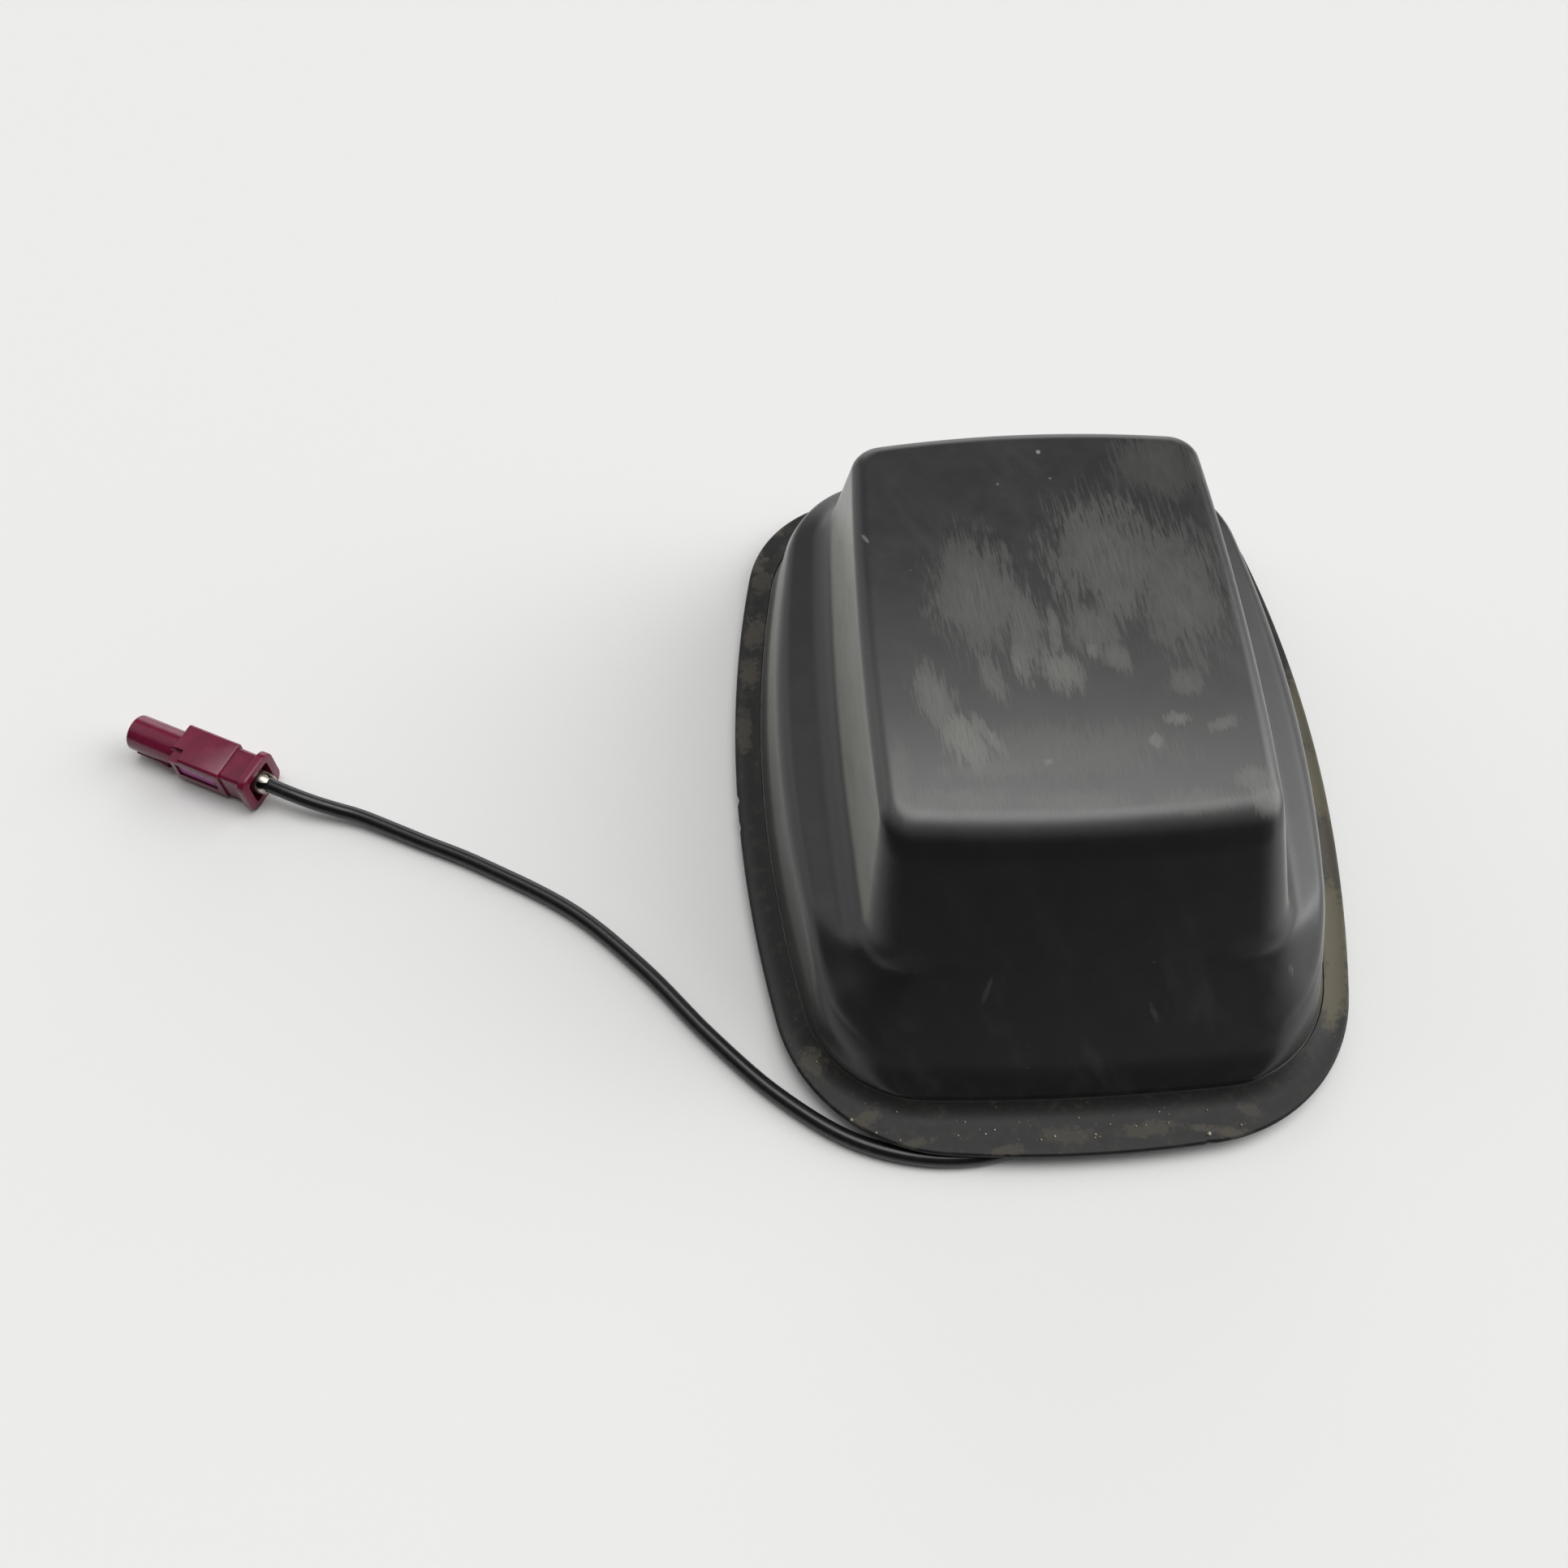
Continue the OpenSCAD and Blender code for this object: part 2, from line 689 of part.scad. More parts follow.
// Countersunk screws from below, through the plate into the shell
module base_screws() {
    color("#b8babb") for (p = post_places) translate(p) difference() {
        union() {
            rod(screw_d, foot_z, plate_z + base_screw_bite);
            translate([0, 0, foot_z])
                cylinder(h = sink_h, d1 = screw_head_d - 2 * screw_gap, d2 = screw_d);
        }
        translate([0, 0, foot_z - past]) cylinder(h = sink_h / 2 + past, d = screw_d, $fn = 6);
    }
}

module circuit_board() {
    color("#1f6b3c") translate([0, 0, board_z]) difference() {
        round_block(board_w, board_l, board_t, board_corner);
        for (p = board_screw_places)
            translate(p) rod(screw_d + 2 * screw_gap, -past, board_t + past);
        translate([exit_x - slot_w / 2, -slot_front, -past])
            cube([slot_w, slot_l, board_t + 2 * past]);
    }
}

module board_screws() {
    color("#c4c6c8") for (p = board_screw_places) translate(p) difference() {
        union() {
            rod(screw_d, foot_z + 2 * past, board_top);
            rod(screw_head_d, board_top, board_top + pan_h);
        }
        translate([0, 0, board_top + pan_h / 2]) cylinder(h = pan_h, d = screw_d, $fn = 6);
    }
}

module shield_can() {
    color("#cfd1d2") translate([-can_x, -can_y, board_top]) difference() {
        translate([-can_w / 2, -can_l / 2, 0]) cube([can_w, can_l, can_h]);
        translate([can_t - can_w / 2, can_t - can_l / 2, -past])
            cube([can_w - 2 * can_t, can_l - 2 * can_t, can_h - can_t + past]);
        for (x = [-1:1], y = [-2:2]) translate([x, y, 0] * vent_pitch)
            rod(vent_d, 0, can_h + past);
    }
}

// Places of the carrier's legs and pegs
frame_leg_in = frame_leg_d / 2 + 1;
frame_places = [for (x = [-1, 1], y = [-1, 1])
    [x * (element_w / 2 - frame_leg_in), element_y + y * (element_l / 2 - frame_leg_in), 0]];

// The element: a slotted top sheet with two legs folded down to the board at its rear
module radiator() {
    rear = element_y + element_l / 2;
    color("#d8c27a") difference() {
        union() {
            translate([-element_w / 2, element_y - element_l / 2, element_z])
                cube([element_w, element_l, sheet_t]);
            for (side = [-1, 1]) translate([side * leg_pitch / 2 - leg_w / 2, rear, board_top]) {
                translate([0, -sheet_t, 0]) cube([leg_w, sheet_t, element_h + sheet_t]);
                translate([0, -leg_foot, 0]) cube([leg_w, leg_foot, sheet_t]);
            }
        }
        for (p = frame_places)
            translate(p) rod(peg_d + 2 * screw_gap, element_z - past, element_z + sheet_t + past);
        for (side = [-1, 1])
            translate([side * gap_pitch / 2 - gap_w / 2, element_y - element_l / 2 - past,
                       element_z - past])
                cube([gap_w, gap_l + past, sheet_t + 2 * past]);
    }
}

// The moulded carrier under the element: a band on four legs, with pegs through the sheet
module radiator_frame() {
    band_w = element_w - 2 * leg_foot;
    band_l = element_l - 2 * leg_foot;
    color("#e4e1d4") {
        difference() {
            translate([-band_w / 2, element_y - band_l / 2, element_z - frame_h])
                cube([band_w, band_l, frame_h]);
            translate([frame_band - band_w / 2, element_y + frame_band - band_l / 2,
                       element_z - frame_h - past])
                cube([band_w - 2 * frame_band, band_l - 2 * frame_band, frame_h + 2 * past]);
        }
        for (p = frame_places) translate(p) {
            rod(frame_leg_d, board_top, element_z);
            rod(peg_d, element_z, element_z + sheet_t + peg_h);
        }
    }
}

// The strip that feeds the element's middle tongue from the board
module feed_strip() {
    strip_y = clip_y + clip_l + core_l;
    color("#cdb56a") translate([exit_x - leg_w / 2 - gap_pitch / 2, strip_y, board_top]) {
        cube([leg_w, leg_foot, sheet_t]);
        cube([leg_w, sheet_t, element_h]);
        translate([0, 0, element_h - sheet_t]) cube([leg_w, leg_foot, sheet_t]);
    }
}

// The clip that holds the lead down on the board
module cable_clamp() {
    r = lead_d / 2 + contact_gap;
    color("#c9cbcc") translate([exit_x, clip_y + clip_l / 2, board_top + lead_d / 2])
        rotate([90, 0, 0]) linear_extrude(clip_l) difference() {
            union() {
                circle(r = r + clip_t);
                translate([-r - clip_t, -lead_d / 2]) square([2 * (r + clip_t), lead_d / 2]);
                translate([-r - clip_foot, -lead_d / 2]) square([2 * (r + clip_foot), clip_t]);
            }
            circle(r = r);
            translate([-r, -lead_d / 2 - past]) square([2 * r, lead_d / 2 + past]);
        }
}

module cable_grommet() {
    color("#1d1d1d") translate([exit_x, -boss_l / 2, exit_z]) rotate([-90, 0, 0]) difference() {
        union() {
            rod(grommet_d, 0, well_wall);
            intersection() {
                rod(grommet_flange_d, well_wall, well_wall + grommet_flange_t);
                translate([-grommet_flange_d, exit_z - well_floor - 2 * grommet_flange_d, 0])
                    cube(2 * grommet_flange_d);
            }
        }
        rod(lead_d, -past, well_wall + grommet_flange_t + past);
    }
}

// A smooth curve through the points of a route, as k points for each of its stretches
function stretch(a, b, c, d, t) =
    0.5 * (2 * b + (c - a) * t + (2 * a - 5 * b + 4 * c - d) * t * t
           + (3 * b - a - 3 * c + d) * t * t * t);
function curve(route, k) =
    let (m = len(route) - 1)
    concat(
        [for (i = [0:m - 1], j = [0:k - 1]) stretch(
            i > 0 ? route[i - 1] : 2 * route[0] - route[1], route[i], route[i + 1],
            i < m - 1 ? route[i + 2] : 2 * route[m] - route[m - 1], j / k
        )],
        [route[m]]
    );

// A round tube along a route that never runs straight up or down
module tube(route, d, sides) {
    m = len(route) - 1;
    loft([for (i = [0:m])
        let (
            run = unit(route[min(i + 1, m)] - route[max(i - 1, 0)]),
            across = unit(cross([0, 0, 1], run)),
            up = cross(run, across)
        )
        [for (j = [0:sides - 1]) let (a = 360 * (j + 0.5) / sides)
            route[i] + d / 2 * (cos(a) * across + sin(a) * up)]
    ]);
}

// The lead's route inside the pod: through the grommet, up through the slot, along the board
seat_z = board_top + lead_d / 2;
rise_start = well_wall + grommet_flange_t + past - boss_l / 2;
rise_end = slot_l - slot_front;
lead_in = concat(
    [[exit_x, -boss_l / 2, exit_z]],
    [for (t = [0:0.2:1])
        [exit_x, mix(rise_start, rise_end, t), mix(exit_z, seat_z, t * t * (3 - 2 * t))]],
    [[exit_x, clip_y - clip_l / 2, seat_z], [exit_x, clip_y + clip_l, seat_z]]
);

// A point on the connector's axis, s behind the nose's tip
function on_axis(s) =
    [s * cos(connector_turn) - tip_x, tip_y - s * sin(connector_turn), axis_z];

// The free lead's route over the ground, from the boss to the ferrule
lead_out = concat(
    [[exit_x, -boss_l / 2, exit_z]],
    [
        [14, -27, 2.8], [14.5, -39, 1.9], [13.8, -51, 1.6], [9, -62.5, 1.6],
        [0, -72.5, 1.6], [-13, -79.6, 1.6], [-28, -80.8, 1.6], [-43.5, -76.5, 1.6],
        [-58, -66.5, 1.6], [-71, -53.5, 1.6], [-84, -38.5, 1.6], [-99, -24.5, 1.6],
        [-118, -13, 1.6], [-131, -6.6, 1.7], [-143.6, -0.6, 2.3], [-149.3, 1.3, 3],
        [-154.1, 2.7, 4], [-158.9, 4.5, 4.9]
    ],
    [on_axis(claw_end), on_axis(neck_end)]
);

module inner_lead() {
    end = lead_in[len(lead_in) - 1];
    color("#19191a") tube(curve(lead_in, 2), lead_d, 8);
    color("#c87f4a") translate(end) rotate([-90, 0, 0]) rod(core_d, -past, core_l);
}

module antenna_lead() {
    color("#19191a") tube(curve(lead_out, 3), lead_d, 8);
}

// Puts a piece of the connector in place: its own X runs from the nose's tip to the lead
module at_connector() {
    translate([-tip_x, tip_y, axis_z]) rotate([0, 0, -connector_turn]) children();
}

// A cylinder along the connector's axis
module along(d, from, to) {
    rotate([0, 90, 0]) rod(d, from, to);
}

// A block along the connector's axis, centred on it
module box_along(from, to, w, h) {
    translate([from, -w / 2, -h / 2]) cube([to - from, w, h]);
}

module connector_housing() {
    inside = sleeve_d + 2 * contact_gap;
    color("#7a1f3d") at_connector() difference() {
        union() {
            along(nose_d, 0, nose_l + past);
            box_along(nose_l, body_end, body_w, body_h);
            box_along(body_end, neck_end, neck_w, neck_h);
            translate([neck_end, 0, 0]) rotate([90, 0, 90])
                round_block(collar_w, collar_h, collar_l, collar_corner);
            for (turn = [135, 225]) rotate([turn, 0, 0])
                translate([blade_back, -blade_t / 2, nose_d / 2 - blade_h])
                cube([nose_l - blade_back, blade_t, 2 * blade_h]);
            rotate([ramp_turn, 0, 0]) translate([nose_l - ramp_back, ramp_w / 2, nose_d / 2])
                rotate([90, 0, 0]) linear_extrude(ramp_w)
                polygon([[-ramp_l, -ramp_h], [0, -ramp_h], [0, ramp_h]]);
        }
        along(nose_bore, -past, nose_depth);
        along(inside, nose_depth - past, collar_end + past);
        box_along(collar_end - pocket_l, collar_end + past, pocket_w, pocket_w);
        translate([window_x, -body_w / 2 - past, window_rise - window_h / 2])
            cube([window_l, window_d + past, window_h]);
        translate([nose_l - past, -body_w / 2 - past, body_h / 2 - notch_h])
            cube([notch_l + past, notch_w + past, notch_h + past]);
    }
}

// The lock in the housing's side window, with its finger notch
module connector_lock() {
    l = window_l - 2 * lock_gap;
    h = window_h - 2 * lock_gap;
    grip_l = 2 * lock_back;
    color("#a04a86") at_connector() translate([
        window_x + lock_gap, lock_back - body_w / 2, window_rise + lock_gap - window_h / 2
    ]) difference() {
        cube([l, window_d - lock_back, h]);
        translate([l - grip_l, -past, -past])
            cube([past + grip_l, past + lock_back, past + h / 2]);
    }
}

module crimp_ferrule() {
    color("#c9c7bf") at_connector() difference() {
        along(ferrule_d, ferrule_x, claw_end);
        along(lead_d + 2 * contact_gap, ferrule_x - past, claw_end + past);
        for (turn = [45, 135]) rotate([turn, 0, 0])
            box_along(collar_end, claw_end + past, claw_gap, ferrule_d + past);
    }
}

module outer_contact() {
    color("#c8b57a") at_connector() difference() {
        along(sleeve_d, sleeve_back, ferrule_x);
        along(sleeve_d - 2 * sleeve_t, 0, ferrule_x + past);
    }
}

module insulator() {
    color("#f2f0e8") at_connector() difference() {
        along(sleeve_d - 2 * sleeve_t, 2 * sleeve_back, ferrule_x);
        along(pin_d, 0, ferrule_x + past);
    }
}

module centre_contact() {
    color("#d9bf6b") at_connector() {
        along(pin_d, sleeve_back + pin_d, ferrule_x);
        translate([sleeve_back, 0, 0]) rotate([0, 90, 0])
            cylinder(h = pin_d, d1 = pin_d / 2, d2 = pin_d);
    }
}

cover();
rim_seal();
base_plate();
roof_seal();
threaded_insert();
base_screws();
circuit_board();
board_screws();
shield_can();
radiator();
radiator_frame();
feed_strip();
cable_clamp();
cable_grommet();
inner_lead();
antenna_lead();
connector_housing();
connector_lock();
crimp_ferrule();
outer_contact();
insulator();
centre_contact();
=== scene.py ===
# Roof antenna pod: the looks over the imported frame. Lengths in the dictionaries are in
# millimetres, as in the part's source, and turn to metres when a mesh is made.
import json
import math
import random

import bmesh
import bpy
from mathutils import Matrix, Vector
from mathutils import noise as fractal


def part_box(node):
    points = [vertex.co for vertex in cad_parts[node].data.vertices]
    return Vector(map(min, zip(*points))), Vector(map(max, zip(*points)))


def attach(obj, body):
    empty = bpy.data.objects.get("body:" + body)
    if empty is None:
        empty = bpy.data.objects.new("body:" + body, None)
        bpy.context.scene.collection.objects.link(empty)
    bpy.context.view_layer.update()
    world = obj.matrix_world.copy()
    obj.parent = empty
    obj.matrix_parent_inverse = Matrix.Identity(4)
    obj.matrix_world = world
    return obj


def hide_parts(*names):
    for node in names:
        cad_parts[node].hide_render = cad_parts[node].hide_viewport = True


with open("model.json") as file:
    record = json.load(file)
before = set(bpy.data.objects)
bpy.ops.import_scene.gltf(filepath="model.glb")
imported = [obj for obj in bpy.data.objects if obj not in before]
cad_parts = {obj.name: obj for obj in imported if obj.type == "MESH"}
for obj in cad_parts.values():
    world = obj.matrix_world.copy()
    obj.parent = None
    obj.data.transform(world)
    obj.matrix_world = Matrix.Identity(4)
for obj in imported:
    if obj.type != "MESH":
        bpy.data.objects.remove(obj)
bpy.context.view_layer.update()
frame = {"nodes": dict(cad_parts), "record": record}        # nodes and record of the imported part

scene = bpy.context.scene
mm = 0.001
seeded = random.Random(5931)


# Camera: the photograph's place and angle of view
camera = {"place": (-61.8, -168.8, 297.3), "tilt": 30.3, "turn": -2.88, "lens": 36.0,
          "sensor": 36.0, "near": 0.01, "far": 20.0}

eye = bpy.data.cameras.new("camera")
eye.lens = camera["lens"]
eye.sensor_width = camera["sensor"]
eye.clip_start = camera["near"]
eye.clip_end = camera["far"]
eyePiece = bpy.data.objects.new("camera", eye)
scene.collection.objects.link(eyePiece)
eyePiece.location = Vector(camera["place"]) * mm
eyePiece.rotation_euler = (math.radians(camera["tilt"]), 0, math.radians(camera["turn"]))
scene.camera = eyePiece


def addPiece(name, mesh):
    piece = bpy.data.objects.new(name, mesh)
    scene.collection.objects.link(piece)
    return piece


def setFinish(piece, slot):
    piece.data.materials.clear()
    piece.data.materials.append(finishes[slot])


def dress(piece, slot, replaced, sharp=None):
    # a piece's finish and shading, the body it rides on and the node it stands for
    setFinish(piece, slot)
    piece.data.polygons.foreach_set("use_smooth", [True] * len(piece.data.polygons))
    if sharp:            # faces that meet at more than this angle keep a crisp edge
        piece.data.set_sharp_from_angle(angle=math.radians(sharp))
    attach(piece, "root")
    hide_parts(*replaced)
    return piece


def meshOf(name, points, faces):
    # a mesh in metres from points in millimetres
    mesh = bpy.data.meshes.new(name)
    mesh.from_pydata([tuple(Vector(p) * mm) for p in points], [], faces)
    mesh.validate()
    mesh.update()
    return mesh


def bridge(faces, lower, upper, count):
    # quads between two rings, which face outwards where the rings run anticlockwise upwards
    for i in range(count):
        k = (i + 1) % count
        faces.append((lower + i, lower + k, upper + k, upper + i))


def bakeModifiers(piece):
    bpy.context.view_layer.update()
    graph = bpy.context.evaluated_depsgraph_get()
    made = bpy.data.meshes.new_from_object(piece.evaluated_get(graph), depsgraph=graph)
    piece.modifiers.clear()
    piece.data = made
    return piece


def mixed(a, b, t):
    return a + (b - a) * t


def smoothStep(t):
    t = min(max(t, 0.0), 1.0)
    return t * t * (3 - 2 * t)


def throughPoints(route, steps):
    # a smooth curve through every point of a route
    route = [Vector(p) for p in route]
    padded = [2 * route[0] - route[1]] + route + [2 * route[-1] - route[-2]]
    made = []
    for i in range(len(route) - 1):
        a, b, c, d = padded[i:i + 4]
        for j in range(steps):
            t = j / steps
            made.append(0.5 * (2 * b + (c - a) * t + (2 * a - 5 * b + 4 * c - d) * t * t
                               + (3 * b - a - 3 * c + d) * t ** 3))
    return made + [route[-1]]


def newTree(name, inputs):
    # a geometry tree with its own inputs, given as (name, socket type, value)
    tree = bpy.data.node_groups.new(name, "GeometryNodeTree")
    tree.interface.new_socket("Geometry", in_out="INPUT", socket_type="NodeSocketGeometry")
    for label, kind, value in inputs:
        socket = tree.interface.new_socket(label, in_out="INPUT", socket_type=kind)
        if value is not None:
            socket.default_value = value
    tree.interface.new_socket("Geometry", in_out="OUTPUT", socket_type="NodeSocketGeometry")
    return tree


def treeNode(tree, kind, settings=None, sockets=None):
    made = tree.nodes.new(kind)
    for key, value in (settings or {}).items():
        setattr(made, key, value)
    for key, value in (sockets or {}).items():
        if isinstance(value, bpy.types.NodeSocket):
            tree.links.new(value, made.inputs[key])
        else:
            made.inputs[key].default_value = value
    return made


def endTree(tree, made, finish):
    # every tree ends in real geometry with its finish set
    whole = treeNode(tree, "GeometryNodeRealizeInstances", {}, {"Geometry": made})
    done = treeNode(tree, "GeometryNodeSetMaterial", {}, {
        "Geometry": whole.outputs[0], "Material": finish})
    treeNode(tree, "NodeGroupOutput", {}, {0: done.outputs[0]})
    return tree


def runTree(piece, tree, values):
    # sets the inputs by their identifiers, runs the tree and keeps its result as a plain mesh
    modifier = piece.modifiers.new(tree.name, "NODES")
    modifier.node_group = tree
    for item in tree.interface.items_tree:
        if item.in_out == "INPUT" and item.name in values:
            modifier[item.identifier] = values[item.name]
    return bakeModifiers(piece)


class Signal:        # a value socket that Python's operators work on
    def __init__(self, finish, socket):
        self.finish = finish
        self.socket = socket

    def __add__(self, other):
        return self.finish.calc("ADD", self, other)

    def __radd__(self, other):
        return self.finish.calc("ADD", other, self)

    def __sub__(self, other):
        return self.finish.calc("SUBTRACT", self, other)

    def __rsub__(self, other):
        return self.finish.calc("SUBTRACT", other, self)

    def __mul__(self, other):
        return self.finish.calc("MULTIPLY", self, other)

    def __rmul__(self, other):
        return self.finish.calc("MULTIPLY", other, self)

    def __truediv__(self, other):
        return self.finish.calc("DIVIDE", self, other)

    def __rtruediv__(self, other):
        return self.finish.calc("DIVIDE", other, self)


class Finish:        # one material and the nodes that make it
    def __init__(self, name, **shader):
        self.material = bpy.data.materials.new(name)
        self.material.use_nodes = True
        self.tree = self.material.node_tree
        self.tree.nodes.clear()
        self.shader = self.node("ShaderNodeBsdfPrincipled", {}, shader)
        self.node("ShaderNodeOutputMaterial", {}, {"Surface": self.shader.outputs[0]})
        coordinate = self.node("ShaderNodeTexCoord")
        self.place = self.node("ShaderNodeMapping", {"vector_type": "POINT"}, {
            "Vector": coordinate.outputs["Object"], "Scale": (1000, 1000, 1000),
        }).outputs[0]                                    # the place in millimetres
        split = self.node("ShaderNodeSeparateXYZ", {}, {"Vector": self.place})
        self.x, self.y, self.z = (Signal(self, split.outputs[i]) for i in range(3))

    def node(self, kind, settings=None, sockets=None):
        made = self.tree.nodes.new(kind)
        for key, value in (settings or {}).items():
            setattr(made, key, value)
        for key, value in (sockets or {}).items():
            self.feed(made.inputs[key], value)
        return made

    def feed(self, socket, value):
        if isinstance(value, Signal):
            value = value.socket
        if isinstance(value, bpy.types.NodeSocket):
            self.tree.links.new(value, socket)
        elif socket.type == "RGBA" and len(value) == 3:
            socket.default_value = (*value, 1)
        else:
            socket.default_value = value

    def calc(self, operation, *values):
        made = self.node("ShaderNodeMath", {"operation": operation}, dict(enumerate(values)))
        return Signal(self, made.outputs[0])

    def turned(self, centre=(0, 0, 0), turn=(0, 0, 0), size=(1, 1, 1)):
        # the place as seen from a pattern's own centre, turn and size
        return self.node("ShaderNodeMapping", {"vector_type": "TEXTURE"}, {
            "Vector": self.place, "Location": centre, "Scale": size,
            "Rotation": tuple(math.radians(a) for a in turn),
        }).outputs[0]

    def cloud(self, perMm, detail=3.0, rough=0.55, size=(1, 1, 1), turn=(0, 0, 0)):
        made = self.node("ShaderNodeTexNoise", {}, {
            "Vector": self.turned((0, 0, 0), turn, size), "Scale": perMm, "Detail": detail,
            "Roughness": rough,
        })
        return Signal(self, made.outputs[0])

    def ramp(self, value, low, high, start=0.0, end=1.0):
        made = self.node("ShaderNodeMapRange", {"interpolation_type": "SMOOTHSTEP"}, {
            "Value": value, "From Min": low, "From Max": high, "To Min": start, "To Max": end,
        })
        return Signal(self, made.outputs[0])

    def specks(self, perMm, radius, share, shift=(0, 0, 0)):
        # scattered dots: each cell of a lattice may hold one, as its own colour decides
        made = self.node("ShaderNodeTexVoronoi", {}, {
            "Vector": self.turned(shift), "Scale": perMm, "Randomness": 1.0,
        })
        own = self.node("ShaderNodeSeparateColor", {}, {"Color": made.outputs["Color"]})
        chosen = self.calc("LESS_THAN", Signal(self, own.outputs[0]), share)
        size = 0.45 + 0.55 * Signal(self, own.outputs[1])
        return chosen * self.ramp(Signal(self, made.outputs["Distance"]) / size,
                                  radius, radius * 0.55)

    def marks(self, rows, height, *ragged):
        # the strongest of several worn or dusty places at each point
        return greatest(*[
            self.mark((x, y, height), (wide, long), turn, *ragged) * strength
            for x, y, wide, long, turn, strength in rows])

    def mark(self, centre, size, turn=0.0, ragged=None, bite=1.2, depth=6.0):
        # one such place, ragged by a cloud that bites into its edge
        reach = self.node("ShaderNodeVectorMath", {"operation": "LENGTH"}, {
            0: self.turned(centre, (0, 0, turn), (size[0], size[1], depth)),
        })
        distance = Signal(self, reach.outputs["Value"])
        if ragged is not None:
            distance = distance + (ragged - 0.5) * bite
        return self.ramp(distance, 1.15, 0.55)

    def tint(self, mask, under, over):
        return self.node("ShaderNodeMix", {"data_type": "RGBA", "blend_type": "MIX"},
                         {0: mask, 6: under, 7: over}).outputs[2]

    def normal(self):
        made = self.node("ShaderNodeNewGeometry")
        split = self.node("ShaderNodeSeparateXYZ", {}, {"Vector": made.outputs["Normal"]})
        return [Signal(self, split.outputs[i]) for i in range(3)]

    def relief(self, height, distance, strength=1.0):
        # height is from 0 to 1, distance in millimetres
        bump = self.node("ShaderNodeBump", {}, {
            "Height": height, "Distance": distance * mm, "Strength": strength,
        })
        self.feed(self.shader.inputs["Normal"], bump.outputs[0])

    def paint(self, colour, roughness):
        self.feed(self.shader.inputs["Base Color"], colour)
        self.feed(self.shader.inputs["Roughness"], roughness)
        return self.material


def greatest(*signals):
    made = signals[0]
    for other in signals[1:]:
        made = made.finish.calc("MAXIMUM", made, other)
    return made


# The pod: the sizes of the part's source, and how finely its rings are drawn
pod = {
    "rimL": 165.0, "rimW": 127.0, "wideY": 5.2,
    "rimBows": (281.0, 243.0, 240.0), "rimCorners": (36.0, 27.0),
    "rimLift": 3.6, "rimT": 1.8, "rimEdge": 1.3, "rimTuck": 3.4,
    "riseH": 1.0, "riseW": 4.0, "riseGap": 0.01, "flare": 1.0, "flareH": 4.5,
    "landSide": 6.5, "landFront": 11.8, "landRear": 7.0,
    "shellH": 44.2, "wall": 2.6, "tierH": 17.6, "riserDraft": 9.0,
    "shoulderW": 11.5, "shoulderRear": 8.2, "shoulderRise": 2.6, "wallDraft": 11.8,
    "slope": 51.5, "ridgeR": 5.0, "filletR": 7.0, "topR": 3.5, "crestR": 8.0,
    # how softly the slope meets the tiers, and from where on either side
    "blend": 12.0, "blendShare": 0.8, "blendFrom": 26.0, "blendRun": 20.0,
    # the cheeks, where the slope rounds over into the lower tier's sides
    "cheekFrom": 35.5, "cheekRun": 18.5, "cheekDrop": 17.0, "cheekRise": 20.0, "cheekBow": 1.6,
    "footBows": (273.0, 480.0, 230.0), "footCorners": (24.0, 24.0),
    "upperBows": (700.0, 320.0, 240.0), "upperCorner": 9.0, "cornerLoss": 0.55,
    "counts": (30, 26, 22),          # points along the side, corner and end of a quarter
    "rounds": 12,                    # steps in each rounding of the section
    "topRings": (0.985, 0.955, 0.92, 0.87, 0.81, 0.74, 0.66, 0.56, 0.44, 0.3, 0.14),
    "innerRounds": 4, "leastCorner": 2.0, "leastEdge": 0.6,
    # how the top falls away towards its crest
    "crown": 1.1, "crownFrom": -8.0,
    "crownRun": 28.0, "crownMost": 1.3, "crownZ": 44.0, "crownDeep": 5.6,
}


def tangent(degrees):
    return math.tan(math.radians(degrees))


footZ = pod["rimLift"] + pod["rimT"]
topZ = footZ + pod["shellH"]
footX = pod["rimW"] / 2 - pod["landSide"]
footFront = pod["landFront"] - pod["rimL"] / 2
footRear = pod["rimL"] / 2 - pod["landRear"]
ridgeX = footX - pod["tierH"] * tangent(pod["riserDraft"])
ridgeZ = footZ + pod["tierH"]
shoulderX = ridgeX - pod["shoulderW"]
shoulderZ = ridgeZ + pod["shoulderRise"]
upperX = shoulderX - (topZ - shoulderZ) * tangent(pod["wallDraft"])
